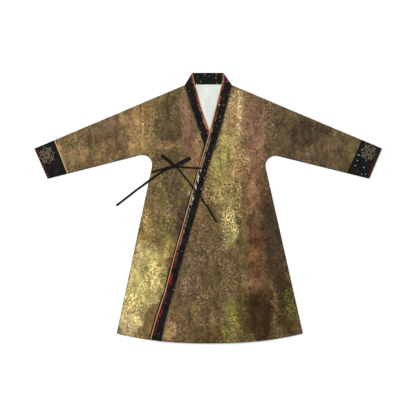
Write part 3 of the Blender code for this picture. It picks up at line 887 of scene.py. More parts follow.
def band_lines(rows, side):
    """Seam points and free edge points of a front collar band, from the fold at the neck to the hem."""
    heights = np.concatenate([NECK_POINT_Y - RIM, evenly(NECK_POINT_Y - RIM[-1], side.hem[1] + HEM_ZONE,
                                                         ROW_STEP)[1:-1], side.hem[1] + HEM_ROWS])
    y = heights + (hem_y(seam_x(rows, heights)) - side.hem[1]) * hem_bend(heights, side)
    seam = np.column_stack([seam_x(rows, y), y])
    seam += (side.neck - seam[0]) * (1 - smooth((NECK_POINT_Y - heights) / FRONT_START))[:, None]
    hem_end = float(hem_y(edge_x(rows, side.hem[1] - HEM_RISE / 2)))
    t = (NECK_POINT_Y - y) / (NECK_POINT_Y - y[-1])
    edge_y = COLLAR_TOP_Y + (hem_end - COLLAR_TOP_Y) * t
    edge = np.column_stack([edge_x(rows, edge_y), edge_y])
    edge += (side.collar_top - edge[0]) * (1 - smooth(t / CORNER_SHARE))[:, None]
    return seam, edge


def columns_of(widths):
    """Distances across a band's rows, or across an edging's, which is too narrow for the usual rims."""
    if widths.min() > 3 * RIM[-1]:
        return across_rows(widths, BAND_COLUMN)
    rim = RIM[:3] / widths.max()
    return widths[:, None] * np.concatenate([rim, np.linspace(0, 1, EDGING_COLUMNS)[1:-1], 1 - rim[::-1]])


def band_strip(name, seam, edge, start, end, wall, under, crown):
    """A strip between two distances from the seam, given as arrays, with its own rims."""
    across = columns_of(end - start)
    u = across / (end - start)[:, None]
    place = seam[:, None] + unit(edge - seam)[:, None] * (start[:, None] + across)[..., None]
    x, y = place[..., 0], place[..., 1]
    down = run_length(seam)
    ends = from_ends(down, down[-1])[:, None]
    near = least(from_ends(across, (end - start)[:, None]), ends)
    z = under(x, y) + wall / 2 + crown * 4 * u * (1 - u) * smooth(ends / 0.01)
    half = wall / 2 * rim_shape(near, wall / 2)
    middle = np.stack([x, y, z], axis=-1)
    values = {"from_edge": near, "across": (end - start)[:, None] - across, "down": COLLAR_TOP_Y - y}
    if seam[0, 0] > edge[0, 0]:
        middle, half = middle[:, ::-1], half[:, ::-1]
        values = {k: v[:, ::-1] for k, v in values.items()}
    return sheet_shell(name, middle, half, values)


def make_band(suffix, rows, side, under, crown):
    seam, edge = band_lines(rows, side)
    width = np.linalg.norm(edge - seam, axis=1)
    band = band_strip(f"collar_{suffix}_band", seam, edge, 0 * width, width - EDGING_WIDTH - SEAM, BAND_CLOTH,
                      under, crown)
    tape = band_strip(f"edging_{suffix}_tape", seam, edge, width - EDGING_WIDTH, width,
                      BAND_CLOTH - EDGING_DROP, under, crown)
    return band, tape


UNDER_CROWN, OVER_CROWN = 0.0001, 0.0003
collar_right, edging_right = make_band("right", UNDER_COLLAR, RIGHT, under_height, UNDER_CROWN)
collar_left, edging_left = make_band("left", OVER_COLLAR, LEFT, over_height, OVER_CROWN)

# %% Collar behind the neck
BACK_COLLAR_FOLD_Y = 0.5294
BACK_COLLAR_STEP = 0.0030
BACK_FOLD_DEPTH, BACK_FOLD_HALF = 0.00025, 0.0018


def straight_rows(top, low, sides, step):
    """Places on straight rows between two side curves, and their distances from the sides and the rim."""
    down = between_rims(top - low, step)
    left, right = sides(top - down)
    across = across_rows(right - left, step)
    x = left[:, None] + across
    y = (top - down)[:, None] + 0 * x
    from_sides = from_ends(across, (right - left)[:, None])
    return x, y, from_sides, least(from_sides, from_ends(down, top - low)[:, None])


def neck_sides(y):
    share = (COLLAR_TOP_Y - y) / (COLLAR_TOP_Y - NECK_POINT_Y)
    return [side.collar_top[0] + (side.neck[0] - side.collar_top[0]) * share for side in (RIGHT, LEFT)]


def make_collar_back():
    x, y, _, near = straight_rows(COLLAR_TOP_Y, NECK_SEAM_Y + SEAM, neck_sides, BACK_COLLAR_STEP)
    fold = groove(y - BACK_COLLAR_FOLD_Y, BACK_FOLD_DEPTH, BACK_FOLD_HALF)
    half = (BACK_BAND_CLOTH / 2 + fold) * rim_shape(near, BACK_BAND_CLOTH / 2)
    middle = np.stack([x, y, BACK_BAND_CLOTH / 2 + fold], axis=-1)
    return sheet_shell("collar_back_band", middle, half, {"down": COLLAR_TOP_Y - y})


collar_back = make_collar_back()

# %% Lining in the neck opening
LINING_CLOTH = 0.0010
LINING_TUCK = 0.018
LINING_LOW_Y = 0.300
LINING_STEP = 0.0040
YOKE_Y, YOKE_DEPTH, YOKE_HALF = 0.5084, 0.0003, 0.0016
LINING_CREASES = table(
    Crease,
    (-20, 440, 84, 75, 12, 0.9),
    (18, 420, 96, 80, 12, 0.8),
    (-2, 455, 90, 60, 10, 0.6),
    (0, 480, 10, 40, 10, 0.5),
)


def lining_sides(y):
    return edge_x(UNDER_COLLAR, y) - LINING_TUCK, edge_x(OVER_COLLAR, y) + LINING_TUCK


def make_lining():
    x, y, from_sides, near = straight_rows(NECK_SEAM_Y - SEAM, LINING_LOW_Y, lining_sides, LINING_STEP)
    rise = crease_rise(LINING_CREASES, x, y) + np.abs(swell(x, y, 51, 0.0005))
    rise = rise * smooth((from_sides - LINING_TUCK) / 0.012)
    yoke = groove(y - YOKE_Y, YOKE_DEPTH, YOKE_HALF)
    middle = np.stack([x, y, SEAM_HEIGHT + LINING_CLOTH / 2 + rise + yoke], axis=-1)
    return sheet_shell("lining_cloth", middle, LINING_CLOTH / 2 * rim_shape(near, LINING_CLOTH / 2), {})


lining = make_lining()
for piece in (collar_right, edging_right, collar_left, edging_left, collar_back, lining):
    print(piece.name, len(piece.data.polygons), "faces", round(cloth_area(piece), 4), "m2 a side")

# %% [markdown]
# ## Sewing
#
# The stitches are real thread, so they are modelled: small spindles that lie on the cloth. A ray from
# above, or from below for the back's hem, finds the height of the cloth under each end. All the stitches
# of one kind are one mesh, because a mesh for each would make the scene slow.

# %% Rows of stitches
HEM_STITCH_LIFT = 0.0166
RAY_START = 1.0
Stitch = namedtuple("Stitch", "pitch length radius")
HEM_STITCH = Stitch(0.0042, 0.0031, 0.00028)
SEAM_STITCH = Stitch(0.0030, 0.0028, 0.00042)
EDGING_STITCH = Stitch(0.0032, 0.0023, 0.00026)
SPINDLE_BODY = (0.22, 0.78)
SPINDLE_SIDES = 4


def surface_of(*pieces):
    """Search tree of the faces of some pieces, to lay small things on them."""
    points, faces = [], []
    for piece in pieces:
        start = len(points)
        points += [v.co for v in piece.data.vertices]
        faces += [[start + n for n in face.vertices] for face in piece.data.polygons]
    return BVHTree.FromPolygons(points, faces)


def laid_on(tree, flat, below=False):
    """Flat points with the height of the cloth there. A point that misses takes the last height."""
    way = 1 if below else -1
    height, placed = 0.0, []
    for x, y in flat:
        hit = tree.ray_cast((x, y, -way * RAY_START), (0, 0, way))[0]
        height = hit[2] if hit is not None else height
        placed.append((x, y, height))
    return np.array(placed)


def stitches(name, tree, lines, stitch, below=False):
    """One mesh with all the stitches of some flat lines: small four-sided spindles."""
    starts, ends = [], []
    for line in lines:
        room = run_length(line)[-1] - stitch.length
        first = np.arange((stitch.pitch - stitch.length) / 2, room, stitch.pitch)
        starts.append(resample(line, first))
        ends.append(resample(line, first + stitch.length))
    a, b = (laid_on(tree, np.concatenate(flat), below) for flat in (starts, ends))
    heading = unit(b - a)
    side = unit(np.cross(heading, (0, 0, 1)))
    up = np.cross(side, heading)
    angles = (np.arange(SPINDLE_SIDES) * 2 * math.pi / SPINDLE_SIDES)[None, :, None]
    round_ = (side[:, None] * np.cos(angles) + up[:, None] * np.sin(angles)) * stitch.radius
    rings = [(a + (b - a) * t)[:, None] + round_ for t in SPINDLE_BODY]
    points = np.concatenate([a[:, None], *rings, b[:, None]], axis=1)
    each = points.shape[1]
    faces = []
    for k in range(SPINDLE_SIDES):
        n, m = 1 + k, 1 + (k + 1) % SPINDLE_SIDES
        far_n, far_m = n + SPINDLE_SIDES, m + SPINDLE_SIDES
        faces += [(0, n, m), (n, far_n, far_m, m), (far_n, each - 1, far_m)]
    whole = [tuple(i * each + n for n in face) for i in range(len(a)) for face in faces]
    print(name, len(a), "stitches")
    return make_mesh(name, points.reshape(-1, 3), whole)


def beside(seam, edge, distance):
    """A line at a distance from a seam, toward the free edge. A negative distance counts from the edge."""
    reach = distance if distance > 0 else np.linalg.norm(edge - seam, axis=1, keepdims=True) + distance
    return seam + unit(edge - seam) * reach


def hem_line(first_x, last_x):
    x = evenly(first_x, last_x, 0.006)
    return np.column_stack([x, hem_y(x) + HEM_STITCH_LIFT])


over_seam, over_edge = band_lines(OVER_COLLAR, LEFT)
under_seam, under_edge = (line[line[:, 1] > 0.300] for line in band_lines(UNDER_COLLAR, RIGHT))
under_count = min(len(under_seam), len(under_edge))
under_seam, under_edge = under_seam[:under_count], under_edge[:under_count]
collar_x = float(seam_x(OVER_COLLAR, -0.545))


def beside_bands(*distances):
    """Lines beside the seams of both collar bands, as far as the bands can be seen."""
    over = [beside(over_seam, over_edge, d)[3:-3] for d in distances]
    return over + [beside(under_seam, under_edge, d)[3:] for d in distances]


front_hem = [hem_line(-0.378, collar_x - 0.052), hem_line(collar_x + 0.004, 0.392)]
back_hem = [hem_line(-0.376, 0.390)]
hem_stitches = stitches("hem_stitches", surface_of(front_right, front_left), front_hem, HEM_STITCH)
back_hem_stitches = stitches("back_hem_stitches", surface_of(back), back_hem, HEM_STITCH, below=True)
bands, edgings = (collar_left, collar_right), (edging_left, edging_right)
seam_thread = stitches("collar_seam_thread", surface_of(*bands), beside_bands(0.0009), SEAM_STITCH)
edging_stitches = stitches("edging_stitches", surface_of(*edgings, *bands), beside_bands(-0.0009, -0.0044),
                           EDGING_STITCH)


# %% Stitches on the ties
TIE_STITCH_INSET = 0.0012
TIE_STITCH = Stitch(0.0033, 0.0023, 0.00020)
BOX_STITCH = Stitch(0.0017, 0.0014, 0.00020)


def tie_rows(line, width):
    """Two rows beside the long edges of a strap."""
    flat = line[:, :2]
    side = to_the_left(flat) * (width / 2 - TIE_STITCH_INSET)
    return [(flat + side)[1:-1], (flat - side)[1:-1]]


def loop_rows(loop):
    """Two rows on the upper layer of a loop, clear of the knot and of the fold."""
    a, b = np.array(loop.end), np.array(loop.tip)
    return tie_rows(lerp(a + (b - a) * 0.35, a + (b - a) * 0.94, np.linspace(0, 1, 12)), loop.width * 0.94)


TIE_ROWS = (
    (tie_side_base, tie_rows(side_base_line[:-5], TIE_WIDTH)),
    (tie_side_end, tie_rows(side_end_line[7:], TIE_WIDTH)),
    (tie_collar_base, tie_rows(collar_base_line[:-5], COLLAR_TIE_WIDTH)),
    (tie_collar_end, tie_rows(collar_end_line[7:], COLLAR_TIE_WIDTH)),
    (tie_side_loop, loop_rows(SIDE_LOOP)),
    (tie_collar_loop, loop_rows(COLLAR_LOOP)),
)
tie_stitches = {}
for tie, rows in TIE_ROWS:
    name = tie.name.replace("strap", "stitches")
    tie_stitches[tie.name] = stitches(name, surface_of(tie), rows, TIE_STITCH)
BOX = metres(((-30.0, 164.5), (-37.0, 164.8), (-36.8, 169.6), (-29.8, 169.3), (-30.0, 164.5), (-36.8, 169.6)))
box_stitches = stitches("tie_box_stitches", surface_of(tie_collar_base, collar_left), [BOX], BOX_STITCH)

# %% [markdown]
# ## Cuff ornament and piping
#
# Each cuff carries an embroidered ornament in cream and old gold thread. Here it is a common pattern: a
# rosette of eight petals in a ring of knots, between four cloud scrolls and four leaves. Each line of
# it is a low rounded cord of satin stitch that lies on the cuff. The right sleeve also has a pale tape
# at its cuff seam, a flat ring round the end of the sleeve.

# %% Embroidered lines
SATIN_HALF_WIDTH = 0.00066
SATIN_HALF_HEIGHT = 0.00045
SATIN_SINK = 0.00005
SATIN_SIDES = 6
SATIN_STEP = 0.0016


def satin(name, tree, lines):
    """One mesh of rounded cords along flat lines. Each line has its own width share."""
    points, faces = [], []
    angles = np.arange(SATIN_SIDES) * 2 * math.pi / SATIN_SIDES
    for line, share in lines:
        total = run_length(line)[-1]
        flat = resample(line, np.linspace(0, total, max(4, round(total / SATIN_STEP))))
        placed = laid_on(tree, flat) - (0, 0, SATIN_SINK)
        side = to_the_left(flat)
        t = np.linspace(0, 1, len(flat))
        taper = share * np.sqrt(np.clip(np.minimum(t, 1 - t) * len(flat) / 2.2, 0.0, 1))
        rings = np.repeat(placed[:, None], SATIN_SIDES, axis=1)
        reach = np.cos(angles)[None] * taper[:, None] * SATIN_HALF_WIDTH
        rings[..., :2] += side[:, None] * reach[..., None]
        rings[..., 2] += np.sin(angles)[None] * taper[:, None] * SATIN_HALF_HEIGHT
        start = len(points)
        inner = rings[1:-1]
        points += [placed[0].tolist()] + inner.reshape(-1, 3).tolist() + [placed[-1].tolist()]
        last = start + 1 + len(inner) * SATIN_SIDES
        for k in range(SATIN_SIDES):
            k2 = (k + 1) % SATIN_SIDES
            faces.append((start, start + 1 + k2, start + 1 + k))
            faces.append((last, last - SATIN_SIDES + k, last - SATIN_SIDES + k2))
            for a in range(start + 1, last - SATIN_SIDES, SATIN_SIDES):
                faces.append((a + k, a + k2, a + SATIN_SIDES + k2, a + SATIN_SIDES + k))
    piece = make_mesh(name, points, faces)
    print(name, len(lines), "lines", len(faces), "faces")
    return piece


PETALS = 8
PETAL_INNER, PETAL_OUTER, PETAL_WIDTH = 0.0050, 0.0165, 0.0036
RING_RADIUS = 0.0036
KNOT_RING, KNOTS, KNOT_LENGTH = 0.0202, 16, 0.0022
CLOUD_REACH, CLOUD_SIZE, CLOUD_TURNS = 0.0310, 0.0078, 1.05
LEAF_REACH, LEAF_LENGTH = 0.0290, 0.0120


def rosette():
    """Cream and gold lines of the ornament round (0, 0), with a width share each."""
    cream, gold = [], []
    t = np.linspace(0, math.pi, 9)
    for k in range(PETALS):
        angle = 2 * math.pi * k / PETALS
        reach = PETAL_INNER + (PETAL_OUTER - PETAL_INNER) * t / math.pi
        for sign in (-1, 1):
            cream.append((turned(np.column_stack([reach, sign * PETAL_WIDTH * np.sin(t)]), angle), 0.8))
    ring = np.linspace(0, 2 * math.pi, 17)
    gold.append((np.column_stack([np.cos(ring), np.sin(ring)]) * RING_RADIUS, 0.9))
    for k in range(KNOTS):
        angle = 2 * math.pi * (k + 0.5) / KNOTS
        gold.append((turned(((KNOT_RING, -KNOT_LENGTH / 2), (KNOT_RING, KNOT_LENGTH / 2)), angle), 1.1))
    curl = np.linspace(0, 1, 22)
    for k in range(4):
        angle = math.pi / 4 + math.pi / 2 * k
        for sign in (-1, 1):
            turn = math.pi * (0.5 + 2 * CLOUD_TURNS * curl)
            radius = CLOUD_SIZE * (1 - 0.70 * curl)
            scroll = np.column_stack([CLOUD_REACH + radius * np.sin(turn) - CLOUD_SIZE,
                                      sign * (CLOUD_SIZE * 0.95 + radius * np.cos(turn))])
            cream.append((turned(scroll, angle), 1.0))
        stem = np.column_stack([np.linspace(CLOUD_REACH, CLOUD_REACH + 0.008, 5), np.linspace(0, 0, 5)])
        gold.append((turned(stem, angle), 0.9))
    for k in range(4):
        angle = math.pi / 2 * k
        reach = LEAF_REACH - LEAF_LENGTH / 2 + LEAF_LENGTH * t / math.pi
        for bow in (-0.0030, 0.0030):
            gold.append((turned(np.column_stack([reach, bow * np.sin(t)]), angle), 0.8))
        cream.append((turned(np.column_stack([reach, 0 * t]), angle), 0.7))
    return cream, gold


# %% Ornament on each cuff
ORNAMENT_STRETCH = (1.00, 1.12)
ORNAMENT_RIGHT, ORNAMENT_LEFT = (-0.6775, 0.2215), (0.6745, 0.2345)


def ornament(side, middle, suffix):
    top_seam, low_seam = cuff_seam(side)
    arm = unit((side.cuff_top + side.cuff_low) - (top_seam + low_seam))
    angle = math.atan2(arm[1], arm[0])
    cuff = cuff_right if side.sign < 0 else cuff_left
    tree = surface_of(cuff)
    made = []
    for label, lines in zip(("cream", "gold"), rosette()):
        placed = [(turned(line * ORNAMENT_STRETCH, angle, middle), share) for line, share in lines]
        made.append(satin(f"ornament_{suffix}_{label}", tree, placed))
    return made


ornament_right_cream, ornament_right_gold = ornament(RIGHT, ORNAMENT_RIGHT, "right")
ornament_left_cream, ornament_left_gold = ornament(LEFT, ORNAMENT_LEFT, "left")


# %% Piping of the right sleeve
TAPE_WIDTH = 0.0042
TAPE_CLOTH = 0.0006
TAPE_STEP = 0.0010


def make_tape(side):
    """Flat ring of tape round the end of a sleeve, beside the cuff's seam."""
    top_seam, low_seam = cuff_seam(side)
    up_arm = unit(side.neck - side.cuff_top)
    low_arm = unit(side.armpit - side.cuff_low)
    along = between_rims(TAPE_WIDTH, TAPE_STEP, RIM[:-1])
    tops = top_seam + up_arm * (TAPE_WIDTH - along[:, None])
    lows = low_seam + low_arm * (TAPE_WIDTH - along[:, None])
    tops = tops + unit(top_seam - low_seam) * TAPE_CLOTH
    lows = lows + unit(low_seam - top_seam) * TAPE_CLOTH
    middle, normals, _, from_fold = flat_rings(tops, lows, SLEEVE_THICK + 2 * TAPE_CLOTH, TAPE_CLOTH)
    middle[..., 2] -= TAPE_CLOTH * 0.9
    rim = from_ends(along, TAPE_WIDTH)[:, None] + 0 * from_fold
    half = TAPE_CLOTH / 2 * rim_shape(rim, TAPE_CLOTH / 2)
    return tube_shell("sleeve_right_tape", middle, normals, half, {}, side.sign > 0)


sleeve_tape = make_tape(RIGHT)
print("tape faces:", len(sleeve_tape.data.polygons))

# %% [markdown]
# ## Floor and light
#
# A pale floor and even white light from all round keep the colours true. One large soft lamp from the
# upper left gives the creases a light and a dark side.

# %% Floor and light
WORLD_STRENGTH = 0.86
LAMP_PLACE = (-2.2, 2.0, 3.0)
LAMP_SIZE = 2.6
LAMP_WATTS = 110
FLOOR_SIZE = 12
FLOOR_LEVEL = -0.0006
FLOOR_COLOUR = (0.97, 0.97, 0.97, 1)

bpy.context.scene.view_settings.view_transform = "Standard"
world = bpy.data.worlds.new("studio")
world.use_nodes = True
world.node_tree.nodes["Background"].inputs["Color"].default_value = (1, 1, 1, 1)
world.node_tree.nodes["Background"].inputs["Strength"].default_value = WORLD_STRENGTH
bpy.context.scene.world = world

lamp_data = bpy.data.lights.new("soft_lamp", "AREA")
lamp_data.shape = "SQUARE"
lamp_data.size = LAMP_SIZE
lamp_data.energy = LAMP_WATTS
lamp = bpy.data.objects.new("soft_lamp", lamp_data)
lamp.location = LAMP_PLACE
lamp.rotation_mode = "QUATERNION"
lamp.rotation_quaternion = Vector(LAMP_PLACE).to_track_quat("Z", "Y")
bpy.context.scene.collection.objects.link(lamp)

corners = [(x * FLOOR_SIZE, y * FLOOR_SIZE, FLOOR_LEVEL) for x, y in ((-1, -1), (1, -1), (1, 1), (-1, 1))]
floor = make_mesh("floor", corners, [(0, 1, 2, 3)])
print("lamp watts:", LAMP_WATTS)

# %% [markdown]
# ## Finishes from nodes
#
# The cloth's colours are worked out by shader nodes, so they need no picture. What several finishes
# share is a node group, built once and placed in each with its own values: the weave, wandering edges,
# soft patches of colour, the grain of the print, specks, painted shade along lines and edges, the
# marbled strip and the twisted thread. Places are metres on the cloth, so each pattern keeps its real
# scale. A small class adds the nodes, and `node_group` turns a function that joins nodes into a group.

# %% Node helpers
VALUE, VECTOR, COLOUR = "NodeSocketFloat", "NodeSocketVector", "NodeSocketColor"


def tint(red, green, blue):
    """Linear colour from the 0 to 255 values that a colour picker shows."""
    values = [c / 255 for c in (red, green, blue)]
    return tuple(c / 12.92 if c <= 0.04045 else ((c + 0.055) / 1.055)**2.4 for c in values) + (1.0,)


class Tree:
    """Adds nodes to a tree. An input is a value or the socket of another node."""

    def __init__(self, tree):
        self.tree = tree

    def feed(self, socket, value):
        if isinstance(value, bpy.types.NodeSocket):
            self.tree.links.new(value, socket)
        else:
            socket.default_value = value

    def add(self, kind, inputs=(), **settings):
        node = self.tree.nodes.new("ShaderNode" + kind)
        for name, value in settings.items():
            setattr(node, name, value)
        for name, value in dict(inputs).items():
            self.feed(node.inputs[name], value)
        return node.outputs

    def math(self, operation, *values):
        return self.add("Math", enumerate(values), operation=operation)[0]

    def times(self, a, b):
        return self.math("MULTIPLY", a, b)

    def vector(self, operation, a, b=(0, 0, 0)):
        inputs = {0: a, "Scale" if operation == "SCALE" else 1: b}
        outputs = self.add("VectorMath", inputs, operation=operation)
        return outputs["Value" if operation == "LENGTH" else "Vector"]

    def mix(self, share, a, b, mode="MIX"):
        return self.add("Mix", {0: share, 6: a, 7: b}, data_type="RGBA", blend_type=mode)[2]

    def rise(self, value, low, high, out_low=0.0, out_high=1.0, kind="SMOOTHSTEP"):
        """Goes from out_low to out_high while the value goes from low to high."""
        inputs = enumerate((value, low, high, out_low, out_high))
        return self.add("MapRange", inputs, interpolation_type=kind)[0]

    def noise(self, place, scale, detail=2.0, rough=0.55, output="Fac"):
        inputs = {"Vector": place, "Scale": scale, "Detail": detail, "Roughness": rough}
        return self.add("TexNoise", inputs, noise_dimensions="2D")[output]

    def stretched(self, place, x, y, turn=0.0):
        inputs = {"Vector": place, "Rotation": (0, 0, math.radians(turn)), "Scale": (x, y, 1)}
        return self.add("Mapping", inputs)[0]

    def use(self, group, **inputs):
        """Places a node group. Gives its output, or all of them by name if it has several."""
        named = {label.replace("_", " "): value for label, value in inputs.items()}
        outputs = self.add("Group", named, node_tree=group)
        return outputs if len(outputs) > 1 else outputs[0]


def node_group(name, given, made):
    """Makes a node group of a function. A number in given is a plain value's usual setting."""
    def build(join):
        group = bpy.data.node_groups.new(name, "ShaderNodeTree")
        for label, kind in given.items():
            plain = isinstance(kind, float)
            socket = group.interface.new_socket(label, in_out="INPUT", socket_type=VALUE if plain else kind)
            if plain:
                socket.default_value = kind
        for label, kind in made.items():
            group.interface.new_socket(label, in_out="OUTPUT", socket_type=kind)
        tree = Tree(group)
        inputs = group.nodes.new("NodeGroupInput").outputs
        outputs = group.nodes.new("NodeGroupOutput").inputs
        results = join(tree, *[inputs[label] for label in given])
        for label, result in zip(made, results if isinstance(results, tuple) else (results,)):
            tree.feed(outputs[label], result)
        return group
    return build


# %% Weave
@node_group("Plain weave", {"Place": VECTOR, "Threads": 1100.0}, {"Height": VALUE, "Gap": VALUE})
def weave(g, place, threads):
    """Threads over and under each other. Height is for bumps; the second output places painted shade between
    the threads.
    """
    unevenness = g.noise(place, scale=300.0, detail=1.0)
    split = g.add("SeparateXYZ", {0: place})
    waves = []
    for axis in "XY":
        phase = g.math("MULTIPLY_ADD", g.times(split[axis], threads), math.pi, g.times(unevenness, 2.0))
        waves.append(g.math("SINE", phase))
    ridges = g.times(*[g.math("ABSOLUTE", wave) for wave in waves])
    return g.math("MULTIPLY_ADD", g.times(*waves), 0.5, 0.5), g.math("SUBTRACT", 1.0, ridges)


# %% Wandering edges and soft patches
@node_group("Wander", {"Place": VECTOR, "Reach": 0.03}, {"Place": VECTOR})
def wander(g, place, reach):
    """Moves a place a little this way and that, so that patches of colour have wandering edges."""
    middle = (0.5, 0.5, 0.5)
    wide = g.vector("SUBTRACT", g.noise(place, 13.0, 3.0, 0.6, "Color"), middle)
    fine = g.vector("SUBTRACT", g.noise(place, 70.0, 3.0, 0.65, "Color"), middle)
    both = g.vector("ADD", wide, g.vector("SCALE", fine, 0.35))
    return g.vector("ADD", place, g.vector("SCALE", both, reach))


@node_group("Soft patch", {"Place": VECTOR, "Middle": VECTOR, "Half": VECTOR, "Turn": VECTOR, "Core": 0.3,
                           "Strength": 1.0, "Under": COLOUR, "Patch": COLOUR}, {"Colour": COLOUR})
def soft_patch(g, place, middle, half, turn, core, strength, under, patch):
    """Lays an oval of colour over another colour: full in its core, fading to nothing at its rim."""
    inputs = {"Vector": place, "Location": middle, "Rotation": turn, "Scale": half}
    inside = g.add("Mapping", inputs, vector_type="TEXTURE")[0]
    away = g.vector("LENGTH", g.vector("MULTIPLY", inside, (1, 1, 0)))
    return g.mix(g.times(g.rise(away, core, 1.0, 1.0, 0.0), strength), under, patch)


# %% Grain of the print
Layer = namedtuple("Layer", "across down turn scale spread dark light")
CLOUD_LAYERS = table(
    Layer,
    (1, 0.80, 10, 16.0, 0.20, 0.80, 1.20),
    (1, 0.14, 2, 38.0, 0.18, 0.78, 1.24),
    (1, 0.70, -15, 36.0, 0.20, 0.76, 1.26),
    (1, 0.70, 0, 80.0, 0.18, 0.72, 1.30),
)
SPONGE_LAYERS = table(
    Layer,
    (1, 0.90, 25, 125.0, 0.13, 0.55, 1.48),
    (1, 1.00, -20, 235.0, 0.13, 0.42, 1.65),
)
DARKEST_GRAIN = 0.12


def layered(g, place, layers):
    """Noise of several sizes, multiplied to one tone about 1."""
    tone = None
    for row in layers:
        value = g.noise(g.stretched(place, row.across, row.down, row.turn), row.scale, 3.0, 0.6)
        part = g.rise(value, 0.5 - row.spread, 0.5 + row.spread, row.dark, row.light, "LINEAR")
        tone = part if tone is None else g.times(tone, part)
    return tone


@node_group("Print grain", {"Place": VECTOR, "Sponge": 1.0},
            {"Tone": VALUE, "Flecks": VALUE, "Dashes": VALUE, "Warmth": VALUE, "Drift": VALUE})
def print_grain(g, place, sponge):
    """The sponged look of the print: a tone about 1, pale flecks, dark dashes and two drifts of hue."""
    bent = g.use(wander, Place=place, Reach=0.05)
    lively = g.rise(g.noise(bent, scale=9.0), 0.38, 0.62, 0.40, 1.05)
    relief = g.times(g.math("SUBTRACT", layered(g, place, SPONGE_LAYERS), 1.0), sponge)
    relief = g.math("MAXIMUM", g.math("MULTIPLY_ADD", relief, lively, 1.0), DARKEST_GRAIN)
    near = g.use(wander, Place=place, Reach=0.012)
    cells = g.add("TexVoronoi", {"Vector": near, "Scale": 75.0}, voronoi_dimensions="2D",
                  feature="DISTANCE_TO_EDGE")["Distance"]
    lines = g.rise(cells, 0.04, 0.13, 1.0, 0.0)
    lacy = g.rise(g.noise(place, scale=40.0), 0.47, 0.60)
    dots = g.rise(g.noise(g.stretched(place, 1, 0.9, 20), 155.0, rough=0.5), 0.58, 0.64)
    flecks = g.math("MAXIMUM", g.times(lines, lacy), dots)
    dashes = g.rise(g.noise(g.stretched(place, 0.6, 1, -35), 150.0, rough=0.5), 0.57, 0.65)
    warmth = g.rise(g.noise(g.stretched(place, 1, 0.7), 60.0, 3.0, 0.6), 0.35, 0.65)
    drift = g.rise(g.noise(bent, 12.0, 3.0, 0.6), 0.36, 0.64)
    return g.times(layered(g, bent, CLOUD_LAYERS), relief), g.times(flecks, lively), dashes, warmth, drift


# %% Specks, two tones and lines of painted shade
@node_group("Specks", {"Place": VECTOR, "Cells": 70.0, "Radius": 0.10, "Share": 0.4}, {"Mask": VALUE})
def specks(g, place, cells, radius, share):
    """Small round specks, one in a cell at most. Share tells how many cells have one."""
    found = g.add("TexVoronoi", {"Vector": place, "Scale": cells}, voronoi_dimensions="2D")
    drawn = g.add("SeparateColor", {0: found["Color"]})
    reach = g.times(radius, g.math("MULTIPLY_ADD", drawn["Green"], 0.8, 0.5))
    inside = g.math("LESS_THAN", found["Distance"], reach)
    return g.times(inside, g.math("LESS_THAN", drawn["Red"], share))


@node_group("Two tones", {"Place": VECTOR, "Scale": 30.0, "First": COLOUR, "Second": COLOUR},
            {"Colour": COLOUR})
def two_tones(g, place, scale, first, second):
    """Drifts softly between two colours."""
    return g.mix(g.rise(g.noise(place, scale, 3.0, 0.5), 0.35, 0.65), first, second)


@node_group("Shaded line", {"Colour": COLOUR, "Shade": COLOUR, "Distance": 1.0, "Width": 0.003,
                            "Strength": 0.5}, {"Colour": COLOUR})
def shaded_line(g, colour, shade, distance, width, strength):
    """Paints shade into a colour where the distance from a line or an edge is small."""
    near = g.rise(distance, 0.0, width, 1.0, 0.0)
    return g.mix(g.times(near, strength), colour, g.mix(1.0, colour, shade, "MULTIPLY"))


# Colour factor of the painted shade at edges and folds.
EDGE_SHADE = (0.30, 0.28, 0.26, 1)


# Paints shade at edges and fold lines with the shared shade colour.
def shaded(g, colour, distance, width, strength):
    return g.use(shaded_line, Colour=colour, Shade=EDGE_SHADE, Distance=distance, Width=width,
                 Strength=strength)


print("node groups:", sorted(g.name for g in bpy.data.node_groups))
